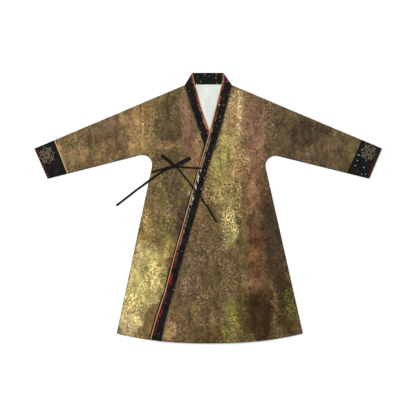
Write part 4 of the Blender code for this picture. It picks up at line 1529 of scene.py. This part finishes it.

# %% [markdown]
# ## The print
#
# The cloth is printed all over in soft drifts of olive, gold, russet and brown, like stained old
# paper, and no two panels match. Each panel's drifts are rows of a table: where a patch of colour
# lies, how wide and tall it is in millimetres, its turn and its colour. The marks have firmer edges and
# lie over the patches. A few are painted shade, not print: at the left sleeve's armpit, along a crease
# near the left front's hem, and a shadow beside the collar band. The shared grain then breaks all of
# them up into flecks and dashes.

# %% Patches of the print
Patch = namedtuple("Patch", "what x y half_width half_height turn colour core strength", defaults=(0.4, 1.0))
FRONT_LEFT_PATCHES = table(
    Patch,
    ("brown shoulder", 262, 370, 90, 140, 0, (104, 84, 60)),
    ("pinkish chest", 205, 300, 52, 270, 1, (125, 96, 74), 0.5),
    ("golden shoulder", 135, 430, 60, 100, 0, (164, 137, 102)),
    ("golden chest", 102, 330, 56, 200, 3, (160, 134, 96), 0.6),
    ("golden lower chest", 140, 175, 50, 90, 0, (160, 132, 89)),
    ("olive beside the collar", 54, 165, 61, 190, -8, (160, 144, 90), 0.6),
    ("golden middle", 90, 30, 62, 140, -4, (150, 132, 84)),
    ("pale middle", 84, -80, 46, 110, -4, (170, 154, 103)),
    ("brown run", 152, -40, 30, 150, 2, (116, 94, 60), 0.3, 0.9),
    ("russet column", 205, 50, 52, 220, 2, (126, 92, 65)),
    ("russet column below", 208, -190, 52, 250, 4, (106, 72, 46), 0.45, 0.85),
    ("pinkish russet", 195, 75, 36, 55, 0, (138, 104, 78), 0.4, 0.8),
    ("dark blotch", 178, -45, 16, 40, 0, (84, 62, 42), 0.3, 0.8),
    ("dark blotch below", 196, -150, 20, 32, 0, (62, 42, 26), 0.3, 0.8),
    ("bright russet", 178, -195, 18, 45, -30, (136, 97, 64), 0.3, 0.8),
    ("russet fork", 196, -300, 36, 34, 0, (134, 94, 66), 0.4, 0.8),
    ("dark side", 276, -140, 62, 300, 9, (68, 53, 36), 0.5),
    ("brown below the bow", 10, -120, 55, 120, -12, (106, 88, 58), 0.3, 0.8),
    ("olive corner", 325, -400, 62, 190, 12, (66, 52, 26), 0.5),
    ("green corner", 352, -420, 34, 120, 13, (92, 84, 38), 0.4, 0.9),
    ("olive hollow", 155, -450, 45, 130, 2, (84, 72, 34)),
    ("dark rust hem", 222, -455, 70, 160, 2, (60, 38, 12), 0.55),
    ("green speckled", 96, -485, 52, 130, 0, (126, 118, 62), 0.45),
    ("dark hem middle", 10, -545, 55, 60, 0, (80, 64, 30), 0.3, 0.9),
    ("mauve beside the band", -65, -280, 52, 170, -16, (112, 92, 74), 0.4, 0.9),
    ("beige beside the band", -125, -470, 45, 110, -14, (118, 94, 62), 0.4, 0.9),
    ("beige hem", -165, -520, 45, 60, 0, (156, 129, 91), 0.5),
)
FRONT_RIGHT_PATCHES = table(
    Patch,
    ("olive shoulder", -170, 350, 68, 150, 0, (97, 79, 54), 0.5),
    ("golden shoulder end", -272, 390, 36, 80, 0, (129, 101, 62)),
    ("golden armhole", -278, 300, 34, 110, 0, (154, 124, 84)),
    ("pinkish beside the collar", -88, 340, 44, 220, 8, (124, 96, 72), 0.6),
    ("pinkish lower", -54, 200, 44, 95, 0, (140, 107, 79)),
    ("dusk at the neck", -118, 500, 30, 35, 0, (96, 80, 62), 0.3, 0.8),
    ("grey beside the band", -70, 45, 22, 40, 0, (132, 116, 86), 0.3, 0.7),
    ("dark above the bow", -165, 210, 70, 60, 0, (98, 79, 52)),
    ("dark below the bow", -145, 100, 60, 130, 0, (93, 79, 55), 0.5),
    ("olive side", -215, 60, 38, 120, 0, (117, 100, 63)),
    ("dark beside the band", -110, -45, 36, 118, -14, (72, 60, 44)),
    ("olive green", -172, -80, 45, 70, -10, (112, 101, 60)),
    ("golden side", -258, -60, 40, 70, 0, (150, 128, 78)),
    ("rust patch", -270, -145, 40, 36, 0, (152, 118, 62), 0.4, 0.9),
    ("bright field", -278, -300, 112, 180, -10, (196, 181, 119), 0.6),
    ("pale beside the band", -188, -195, 42, 85, -14, (164, 144, 88), 0.5, 0.9),
    ("brown beside the band", -194, -355, 24, 110, -14, (146, 122, 78), 0.3, 0.5),
    ("beige lower", -232, -485, 34, 95, -14, (140, 112, 72), 0.3, 0.9),
    ("cream corner", -335, -480, 66, 100, 0, (212, 192, 138)),
)
SLEEVE_RIGHT_PATCHES = table(
    Patch,
    ("golden column", -305, 330, 38, 150, 0, (160, 130, 88)),
    ("upper gold", -355, 380, 35, 45, 0, (166, 134, 96), 0.3, 0.9),
    ("pale near the cuff", -622, 235, 25, 50, 20, (160, 128, 90), 0.3, 0.8),
    ("brown middle", -415, 285, 60, 80, 0, (105, 83, 58)),
    ("pale lower", -555, 215, 90, 34, 18, (140, 114, 82), 0.4, 0.9),
    ("brown upper", -510, 290, 70, 40, 20, (104, 86, 60), 0.3, 0.8),
    ("mauve upper", -415, 345, 50, 35, 20, (126, 98, 80), 0.3, 0.8),
    ("olive near the cuff", -580, 275, 50, 35, 20, (106, 94, 56), 0.3, 0.7),
)
SLEEVE_LEFT_PATCHES = table(
    Patch,
    ("dark middle", 400, 310, 85, 80, -18, (75, 59, 44), 0.5),
    # Painted shade in the puckered seam at the armpit.
    ("dark armpit", 336, 240, 32, 40, 0, (82, 64, 43), 0.3, 0.8),
    ("olive lower", 450, 215, 70, 30, -15, (98, 82, 60), 0.3, 0.9),
    ("lighter end", 520, 252, 55, 55, -15, (106, 86, 60), 0.4, 0.9),
    ("dark upper", 480, 342, 65, 26, -22, (74, 61, 46), 0.3, 0.85),
    ("olive near the cuff", 612, 245, 45, 80, 0, (104, 90, 57), 0.4, 0.9),
)
BACK_PATCHES = table(
    Patch,
    ("golden column", 80, 150, 90, 300, 4, (168, 146, 100), 0.3, 0.9),
    ("russet column", -140, 50, 60, 320, -4, (112, 80, 54), 0.3, 0.85),
    ("dark side", -270, -150, 70, 260, -12, (76, 60, 38), 0.4, 0.85),
    ("bright field", 240, -330, 120, 200, 8, (186, 168, 110), 0.4, 0.9),
    ("rust hem", -120, -470, 90, 110, 0, (74, 52, 26), 0.4, 0.85),
    ("green speckled", 60, -480, 70, 100, 0, (116, 106, 56), 0.3, 0.8),
    ("brown shoulders", 0, 430, 220, 70, 0, (118, 94, 66), 0.3, 0.6),
)


# %% Marks over the patches
# The shade beside the band is a painted shadow: a dark line on the right front just outside the free edge of
# the left front's collar band.
BAND_SHADOW_REACH = 0.0020
BAND_SHADOW_PARTS = 9
CHAIN_OVERLAP = 0.72


def chain(what, line, pieces, half_width, colour, core, strength):
    """Rows for a thin line along a curve: a chain of long narrow patches."""
    rows = []
    for part in np.array_split(line * MM_IN_METRE, pieces):
        run = part[-1] - part[0]
        x, y = ((part[0] + part[-1]) / 2).tolist()
        turn = math.degrees(math.atan2(run[1], run[0])) - 90
        half_height = CHAIN_OVERLAP * math.hypot(*run)
        rows.append(Patch(what, x, y, half_width, half_height, turn, colour, core, strength))
    return rows


band_shadow_line = over_edge + unit(over_edge - over_seam) * BAND_SHADOW_REACH
FRONT_LEFT_MARKS = table(
    Patch,
    ("pale stripe with a crisp edge", 131, 400, 8.5, 110, 0, (206, 180, 136), 0.6, 0.45),
    ("pinkish side of that edge", 162, 400, 22, 120, 0, (154, 120, 90), 0.8, 0.6),
    ("pale drip", 100, -62, 17, 55, 0, (174, 162, 116), 0.7, 0.45),
    ("dark drip", 176, -90, 6, 110, 2, (84, 62, 40), 0.4, 0.45),
    ("russet drip", 193, -160, 6, 120, 3, (144, 98, 62), 0.4, 0.5),
    ("diagonal streak", 284, -415, 62, 4, -50, (150, 124, 84), 0.2, 0.55),
    # Painted shade along the crease near the hem's corner.
    ("diagonal shade", 272, -422, 62, 6, -50, (40, 28, 12), 0.2, 0.45),
)
FRONT_RIGHT_MARKS = table(
    Patch,
    ("olive side of the crisp line", -152, 400, 32, 120, 0, (84, 69, 43), 0.85, 0.6),
    ("pinkish side of the crisp line", -104, 400, 16, 120, 0, (138, 109, 83), 0.8, 0.5),
    ("crisp line", -120.5, 400, 1.4, 120, 0, (70, 56, 38), 0.6, 0.45),
    ("pale band", -190, 265, 62, 21, 0, (144, 117, 80), 0.75, 0.7),
    ("pale armhole", -276, 350, 9, 130, 0, (188, 156, 112), 0.4, 0.7),
    # Painted shadow of the left collar band.
    *chain("shade beside the band", band_shadow_line, BAND_SHADOW_PARTS, 4.4, (30, 22, 12), 0.75, 1.0),
)


# %% Print material
GLOSS, SHEEN = 0.15, 0.03
PRINT_DEPTH = 0.74
# Near the armhole seam the painted edge shade is fainter, because its distance is lifted there.
ARMHOLE_X, ARMHOLE_BOTTOM_Y = 0.2775, 0.215
ARMHOLE_LIFT = 0.0035
COOL_FLECK, WARM_FLECK = (0.99, 1.01, 0.90, 1), (1.03, 0.99, 1.01, 1)
COOL_DRIFT, WARM_DRIFT = (0.985, 1.015, 0.91, 1), (1.04, 0.985, 0.99, 1)
PALE_FLECK, DARK_DASH = (1.84, 1.80, 1.80, 1), (0.45, 0.42, 0.38, 1)
# Colour of the painted shade between the print's threads.
GAP_SHADE_COLOUR = (0.02, 0.015, 0.01, 1)
PRINT_BUMP, BUMP_DISTANCE = 0.35, 0.0002


class Finish(Tree):
    """A material's tree, with its shader's inputs and the place on the cloth."""

    def __init__(self, name, roughness, gloss=GLOSS, sheen=SHEEN):
        self.material = bpy.data.materials.new(name)
        self.material.use_nodes = True
        super().__init__(self.material.node_tree)
        self.shader = self.tree.nodes["Principled BSDF"].inputs
        levels = {"Roughness": roughness, "Specular IOR Level": gloss, "Sheen Weight": sheen}
        for label, value in levels.items():
            self.shader[label].default_value = value

    @cached_property
    def place(self):
        return self.add("TexCoord")["Object"]

    def attribute(self, name):
        return self.add("Attribute", attribute_name=name)["Fac"]

    def laid_over(self, place, colour, patches):
        """Lays the rows of a table over a colour, one after another."""
        for p in patches:
            x, y, wide, tall = (mm / MM_IN_METRE for mm in p[1:5])
            colour = self.use(soft_patch, Place=place, Middle=(x, y, 0), Half=(wide, tall, 1), Core=p.core,
                              Turn=(0, 0, math.radians(p.turn)), Strength=p.strength, Under=colour,
                              Patch=tint(*p.colour))
        return colour

    def done(self, colour, height=None, strength=0.4, distance=BUMP_DISTANCE):
        """Feeds the colour and the bump to the shader, and gives the material."""
        self.feed(self.shader["Base Color"], colour)
        if height is not None:
            inputs = {"Height": height, "Strength": strength, "Distance": distance}
            self.feed(self.shader["Normal"], self.add("Bump", inputs)[0])
        return self.material


@node_group("Print finish", {"Place": VECTOR, "Colour": COLOUR, "From edge": 1.0, "From hem": 1.0,
                             "Sponge": 1.0, "Flecks": 0.5, "Dashes": 0.5},
            {"Colour": COLOUR, "Roughness": VALUE, "Height": VALUE})
def print_finish(g, place, ground, from_edge, from_hem, sponge, flecks, dashes):
    """Breaks a panel's colours up into sponged grain, and paints shade along its edges, fainter at the
    armhole seam, and in the fold line above its hem.
    """
    parts = g.add("SeparateColor", {0: ground})
    lively = g.rise(g.math("DIVIDE", parts["Green"], parts["Red"]), 0.58, 0.74, 0.62, 1.15)
    grain = g.use(print_grain, Place=place, Sponge=g.times(sponge, lively))
    deep = g.times(grain["Tone"], PRINT_DEPTH)
    colour = g.mix(1.0, ground, g.add("CombineColor", {0: deep, 1: deep, 2: deep})[0], "MULTIPLY")
    for share, cool, warm in (("Warmth", COOL_FLECK, WARM_FLECK), ("Drift", COOL_DRIFT, WARM_DRIFT)):
        colour = g.mix(1.0, colour, g.mix(grain[share], cool, warm), "MULTIPLY")
    for mask, amount, factor in (("Flecks", flecks, PALE_FLECK), ("Dashes", dashes, DARK_DASH)):
        share = g.times(g.times(grain[mask], amount), lively)
        colour = g.mix(share, colour, g.mix(1.0, colour, factor, "MULTIPLY"))
    cloth = g.use(weave, Place=place, Threads=1100.0)
    # Painted shade between the threads.
    colour = g.mix(g.times(cloth["Gap"], 0.08), colour, GAP_SHADE_COLOUR)
    # Painted shade along the panel's edges and folds, fainter at the armhole seam.
    split = g.add("SeparateXYZ", {0: place})
    outside = g.rise(g.math("ABSOLUTE", split["X"]), ARMHOLE_X - 0.012, ARMHOLE_X - 0.006)
    above = g.rise(split["Y"], ARMHOLE_BOTTOM_Y, ARMHOLE_BOTTOM_Y + 0.010)
    from_seam = g.math("MULTIPLY_ADD", g.times(outside, above), ARMHOLE_LIFT, from_edge)
    colour = shaded(g, colour, from_seam, 0.0050, 0.75)
    # Painted shade in the fold line above the hem.
    from_fold = g.math("ABSOLUTE", g.math("SUBTRACT", from_hem, HEM_FOLD))
    colour = shaded(g, colour, from_fold, 0.0024, 0.55)
    height = g.math("MULTIPLY_ADD", grain["Tone"], 0.3, cloth["Height"])
    return colour, g.rise(grain["Tone"], 0.6, 1.4, 0.88, 0.74), height


def print_cloth(name, ground, patches, marks, sponge, flecks, dashes):
    f = Finish(name, 0.82)
    bent = f.use(wander, Place=f.place, Reach=0.075)
    colour = f.laid_over(f.place, f.laid_over(bent, tint(*ground), patches), marks)
    printed = f.use(print_finish, Place=f.place, Colour=colour, From_edge=f.attribute("from_edge"),
                    From_hem=f.attribute("from_hem"), Sponge=sponge, Flecks=flecks, Dashes=dashes)
    f.feed(f.shader["Roughness"], printed["Roughness"])
    return f.done(printed["Colour"], printed["Height"], PRINT_BUMP)


Print = namedtuple("Print", "panel ground patches marks sponge flecks dashes")
PRINTS = table(
    Print,
    ("front_left", (106, 87, 57), FRONT_LEFT_PATCHES, FRONT_LEFT_MARKS, 1.25, 0.75, 0.6),
    ("front_right", (118, 99, 64), FRONT_RIGHT_PATCHES, FRONT_RIGHT_MARKS, 0.80, 0.50, 0.55),
    ("sleeve_right", (112, 92, 62), SLEEVE_RIGHT_PATCHES, (), 0.75, 0.40, 0.4),
    ("sleeve_left", (98, 81, 57), SLEEVE_LEFT_PATCHES, (), 0.60, 0.25, 0.35),
    ("back", (116, 94, 62), BACK_PATCHES, (), 1.0, 0.50, 0.5),
)
finishes = {row.panel: print_cloth("print_" + row.panel, *row[1:]) for row in PRINTS}
print("prints:", list(finishes))

# %% [markdown]
# ## Collar, cuffs and ties
#
# The bands are black with scattered pale specks. Beside the free edge runs a marbled strip that changes
# from crimson through salmon and a whitish green to maroon on its way down. A colour ramp over the
# distance from the collar's top holds those colours, and noise breaks the strip up. The stops of the
# ramp are in millimetres.

# %% Black cloth and the marbled strip
# The third colour is painted shade between the black cloth's threads.
BLACK, BLACK_LIGHTER, BLACK_GAP_SHADE = tint(14, 12, 13), tint(26, 25, 24), tint(8, 7, 8)
GRAIN_COLOUR, SPECK_COLOUR = tint(66, 68, 64), tint(200, 196, 186)
VEIN_FACTOR = (1.25, 1.35, 1.35, 1)
BLACK_GLOSS = 0.06
STRIP_FIRST, STRIP_LAST = 0.0022, 0.0102
BAND_RUN_MM = 1137
Stop = namedtuple("Stop", "down colour")
OVER_STRIP = table(
    Stop,
    (10, (148, 32, 34)), (60, (156, 38, 40)), (85, (56, 22, 22)), (105, (144, 34, 54)),
    (135, (186, 102, 84)), (152, (42, 28, 26)), (175, (140, 52, 44)), (215, (158, 88, 64)),
    (300, (150, 108, 80)), (390, (128, 88, 68)), (420, (192, 190, 160)), (540, (162, 162, 130)),
    (580, (70, 66, 52)), (640, (152, 100, 80)), (730, (130, 68, 56)), (800, (112, 34, 36)),
    (880, (126, 24, 34)), (960, (84, 24, 30)), (1030, (136, 22, 32)), (1090, (74, 24, 24)),
    (1130, (44, 20, 18)),
)
UNDER_STRIP = table(
    Stop,
    (10, (150, 34, 38)), (55, (156, 38, 42)), (80, (50, 22, 22)), (110, (150, 40, 50)),
    (145, (190, 108, 92)), (170, (52, 28, 32)), (195, (176, 98, 84)), (225, (184, 112, 78)),
    (300, (140, 52, 44)), (450, (150, 84, 68)),
)


@node_group("Black cloth", {"Place": VECTOR, "Threads": 900.0, "Share": 0.3},
            {"Colour": COLOUR, "Height": VALUE})
def black_cloth(g, place, threads, share):
    """Black band cloth: two close tones, its weave, faint fine grains and a few pale specks."""
    cloth = g.use(weave, Place=place, Threads=threads)
    colour = g.use(two_tones, Place=place, Scale=40.0, First=BLACK, Second=BLACK_LIGHTER)
    colour = g.mix(g.rise(g.noise(place, scale=520.0), 0.56, 0.74, 0.0, 0.5), colour, GRAIN_COLOUR)
    # Painted shade between the threads.
    colour = g.mix(g.times(cloth["Gap"], 0.3), colour, BLACK_GAP_SHADE)
    mask = g.use(specks, Place=place, Cells=62.0, Radius=0.078, Share=share)
    return g.mix(mask, colour, SPECK_COLOUR), cloth["Height"]


@node_group("Marbled strip", {"Place": VECTOR, "Distance": 1.0, "First": 0.002, "Last": 0.009, "Cover": 0.03,
                              "Veins": 1.0, "Colour": COLOUR, "Strip": COLOUR}, {"Colour": COLOUR})
def marbled(g, place, distance, first, last, cover, veins, colour, strip):
    """Lays a ragged marbled strip over a colour, between two distances from an edge."""
    from_first = g.math("SUBTRACT", distance, first)
    ragged = g.noise(g.stretched(place, 1, 0.5, 16), 110.0, 3.0, 0.65)
    reach = g.math("MULTIPLY_ADD", g.math("SUBTRACT", ragged, 0.5), 0.012, distance)
    from_last = g.math("SUBTRACT", reach, last)
    inside = g.times(g.rise(from_first, -0.0006, 0.0006), g.rise(from_last, -0.0010, 0.0010, 1.0, 0.0))
    gaps = g.noise(g.stretched(place, 1, 0.34, 17), 120.0, 3.0, 0.6)
    kept = g.rise(g.math("ADD", gaps, cover), 0.44, 0.60)
    streaks = g.noise(g.stretched(place, 1, 0.5, 16), scale=230.0)
    pale = g.mix(1.0, strip, VEIN_FACTOR, "MULTIPLY")
    veined = g.mix(g.rise(streaks, 0.5, 0.68, 0.0, veins), strip, pale)
    return g.mix(g.times(inside, kept), colour, veined)


# %% Band material
def black_finish(name, share, threads=900.0):
    """A finish of black cloth that is still to be coloured, with the cloth's colour and height."""
    f = Finish(name, 0.78, BLACK_GLOSS, 0.0)
    cloth = f.use(black_cloth, Place=f.place, Share=share, Threads=threads)
    return f, cloth["Colour"], cloth["Height"]


def colour_ramp(g, value, stops, run):
    node = g.tree.nodes.new("ShaderNodeValToRGB")
    g.feed(node.inputs[0], g.math("DIVIDE", value, run / MM_IN_METRE))
    elements = node.color_ramp.elements
    while len(elements) < len(stops):
        elements.new(0.5)
    for element, stop in zip(elements, stops):
        element.position = stop.down / run
    for element, stop in zip(elements, stops):
        element.color = tint(*stop.colour)
    return node.outputs[0]


def band_cloth(name, stops):
    f, black, height = black_finish(name, 0.26)
    strip = colour_ramp(f, f.attribute("down"), stops, BAND_RUN_MM)
    colour = f.use(marbled, Place=f.place, Distance=f.attribute("across"), First=STRIP_FIRST, Last=STRIP_LAST,
                   Cover=0.03, Veins=1.0, Colour=black, Strip=strip)
    return f.done(colour, height)


def back_band_cloth():
    f, black, height = black_finish("band_behind_the_neck", 0.35)
    # Painted shade along the fold of the band behind the neck.
    from_fold = f.math("SUBTRACT", f.attribute("down"), COLLAR_TOP_Y - BACK_COLLAR_FOLD_Y)
    return f.done(shaded(f, black, f.math("ABSOLUTE", from_fold), 0.0026, 0.9), height)


finishes["collar_left"] = band_cloth("band_over", OVER_STRIP)
finishes["collar_right"] = band_cloth("band_under", UNDER_STRIP)
finishes["collar_back"] = back_band_cloth()


# %% Cuffs
CUFF_RED, CUFF_RUST = tint(66, 16, 12), tint(70, 38, 22)


@node_group("Cuff strip", {"Place": VECTOR, "Colour": COLOUR, "From opening": 1.0, "From edge": 1.0},
            {"Colour": COLOUR})
def cuff_strip(g, place, colour, from_opening, from_edge):
    """Lays the dark red strip along a cuff's opening, fainter toward the top, and paints shade along the
    cuff's edges.
    """
    strip = g.use(two_tones, Place=place, Scale=80.0, First=CUFF_RED, Second=CUFF_RUST)
    lower = g.rise(g.add("SeparateXYZ", {0: place})["Y"], 0.195, 0.245, 1.0, 0.55)
    marbling = g.use(marbled, Place=place, Distance=from_opening, First=0.0035, Last=0.0120, Cover=0.06,
                     Veins=0.3, Colour=colour, Strip=g.mix(lower, colour, strip))
    return shaded(g, marbling, from_edge, 0.004, 0.9)


def cuff_cloth(name, share, patches):
    f, black, height = black_finish(name, share)
    colour = f.use(cuff_strip, Place=f.place, Colour=f.laid_over(f.place, black, patches),
                   From_opening=f.attribute("from_opening"), From_edge=f.attribute("from_edge"))
    return f.done(colour, height)


SPECK_PLACES = ((648, 246), (636, 222), (627, 199.3), (618.7, 178.3), (654.4, 170.3), (644.7, 142.2))
LEFT_CUFF_SPECKS = [Patch("speck", x, y, 2.2, 2.2, 0, (196, 192, 180), 0.6) for x, y in SPECK_PLACES]
finishes["cuff_right"] = cuff_cloth("cuff_right_black", 0.10, ())
finishes["cuff_left"] = cuff_cloth("cuff_left_black", 0.06, LEFT_CUFF_SPECKS)


# %% Edging, lining, ties and thread
def edging_cloth():
    f = Finish("edging_beige", 0.80)
    cloth = f.use(weave, Place=f.stretched(f.place, 1, 1, 45), Threads=1300.0)
    colour = f.use(two_tones, Place=f.place, Scale=24.0, First=tint(180, 140, 98), Second=tint(190, 162, 116))
    grain = f.rise(f.noise(f.place, scale=330.0), 0.4, 0.75, 0.0, 0.5)
    colour = f.mix(grain, colour, tint(118, 92, 66))
    # Painted shade along the edging's edges.
    return f.done(shaded(f, colour, f.attribute("from_edge"), 0.0018, 0.95), cloth["Height"])


def lining_white():
    f = Finish("lining_white", 0.85)
    cloth = f.use(weave, Place=f.place, Threads=1500.0)
    colour = f.use(two_tones, Place=f.stretched(f.place, 1, 0.25), Scale=34.0, First=tint(199, 202, 196),
                   Second=tint(209, 212, 207))
    # Painted shade between the lining's threads.
    colour = f.mix(f.times(cloth["Gap"], 0.05), colour, tint(150, 150, 146))
    return f.done(colour, cloth["Height"], 0.2, 0.00015)


def tie_cloth():
    f, black, height = black_finish("tie_black", 0.08, 1000.0)
    return f.done(f.mix(0.25, black, tint(20, 14, 15)), height)


@node_group("Twisted thread", {"Place": VECTOR, "Dark": COLOUR, "Pale": COLOUR},
            {"Colour": COLOUR, "Height": VALUE})
def twisted(g, place, dark, pale):
    """Fine slanting stripes between two tones."""
    twist = g.noise(g.stretched(place, 1, 0.3, 40), scale=900.0, detail=1.0)
    return g.mix(g.rise(twist, 0.35, 0.65), dark, pale), twist


def thread(name, pale, dark, roughness=0.6):
    f = Finish(name, roughness)
    made = f.use(twisted, Place=f.place, Dark=tint(*dark), Pale=tint(*pale))
    return f.done(made["Colour"], made["Height"], 0.3)


edging_mat, lining_mat, tie_mat = edging_cloth(), lining_white(), tie_cloth()
brown_thread = thread("thread_brown", (74, 56, 34), (44, 32, 20))
black_thread = thread("thread_black", (34, 30, 32), (14, 12, 13))
yellow_thread = thread("thread_yellow", (150, 132, 88), (112, 94, 58))
cream_thread = thread("thread_cream", (192, 180, 154), (134, 120, 94), 0.45)
gold_thread = thread("thread_gold", (132, 116, 78), (82, 70, 44), 0.45)
tape_mat = thread("tape_beige", (192, 162, 118), (162, 134, 94), 0.8)
floor.data.materials.append(Finish("floor_paper", 0.95, 0.0, 0.0).done(FLOOR_COLOUR))
print("materials:", len(bpy.data.materials))

# %% [markdown]
# ## Dress the pieces
#
# Each shell stands for one node of the imported model. The table says which, with its finish, grouped
# by the record's material slots. Stitches, ornaments and tape are added and stand for nothing.

# %% Dress the pieces
SLOTS = {
    "print": (back, front_right, front_left, sleeve_right, sleeve_left),
    "cuff": (cuff_right, cuff_left),
    "collar": (collar_right, collar_left, collar_back),
    "edging": (edging_right, edging_left),
    "lining": (lining,),
    "tie": (tie_side_base, tie_side_end, tie_side_loop, tie_collar_base, tie_collar_end, tie_collar_loop,
            knot),
}
SLOT_FINISHES = {"edging": edging_mat, "lining": lining_mat, "tie": tie_mat}
OTHER_NODES = {"knot_wrap": "tie_knot", "lining_cloth": "lining_back"}
Added = namedtuple("Added", "piece finish slot")
ADDED = table(
    Added,
    (hem_stitches, brown_thread, "print"),
    (back_hem_stitches, brown_thread, "print"),
    (seam_thread, yellow_thread, "collar"),
    (edging_stitches, brown_thread, "edging"),
    (box_stitches, black_thread, "tie"),
    (ornament_right_cream, cream_thread, "cuff"),
    (ornament_right_gold, gold_thread, "cuff"),
    (ornament_left_cream, cream_thread, "cuff"),
    (ornament_left_gold, gold_thread, "cuff"),
    (sleeve_tape, tape_mat, "edging"),
    *[(row, black_thread, "tie") for row in tie_stitches.values()],
)


def dress(piece, finish, slot):
    piece.data.materials.append(finish)
    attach(piece, "root")


for row in ADDED:
    dress(*row)
for slot, pieces in SLOTS.items():
    for piece in pieces:
        node = OTHER_NODES.get(piece.name, piece.name.rsplit("_", 1)[0])
        dress(piece, SLOT_FINISHES.get(slot) or finishes[node], slot)
        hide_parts(node)
print("pieces:", len(ADDED) + sum(len(pieces) for pieces in SLOTS.values()))

# %% Tables of the cords and sheets
Tie = namedtuple("Tie", "piece line width far_end others")
TIES = table(
    Tie,
    (tie_side_base, side_base_line, TIE_WIDTH, "knot", [knot]),
    (tie_side_end, side_end_line, TIE_WIDTH, "bare", []),
    (tie_collar_base, collar_base_line, COLLAR_TIE_WIDTH, "knot", [box_stitches]),
    (tie_collar_end, collar_end_line, COLLAR_TIE_WIDTH, "bare", []),
)

Cut = namedtuple("Cut", "piece width length area rests with_pieces")
CUTS = table(
    Cut,
    (back, 0.796, 1.088, 0.6392, ["floor"], [back_hem_stitches]),
    (front_right, 0.630, 1.045, 0.3832, ["back_cloth"], []),
    (front_left, 0.640, 1.045, 0.3808, ["front_right_cloth"], [hem_stitches]),
    (sleeve_right, 0.410, 0.370, 0.1285, ["floor"], [sleeve_tape]),
    (sleeve_left, 0.410, 0.370, 0.1277, ["floor"], []),
    (cuff_right, 0.290, 0.091, 0.0256, ["floor"], [ornament_right_cream, ornament_right_gold]),
    (cuff_left, 0.290, 0.095, 0.0270, ["floor"], [ornament_left_cream, ornament_left_gold]),
    (collar_right, 0.039, 1.130, 0.0419, ["back_cloth"], [edging_right]),
    (collar_left, 0.039, 1.130, 0.0414, ["front_right_cloth"], [edging_left, edging_stitches, seam_thread]),
    (collar_back, 0.199, 0.049, 0.0083, ["floor"], []),
    (lining, 0.175, 0.219, 0.0190, ["back_cloth"], []),
)
print("cords:", len(TIES), "sheets:", len(CUTS) + 2)
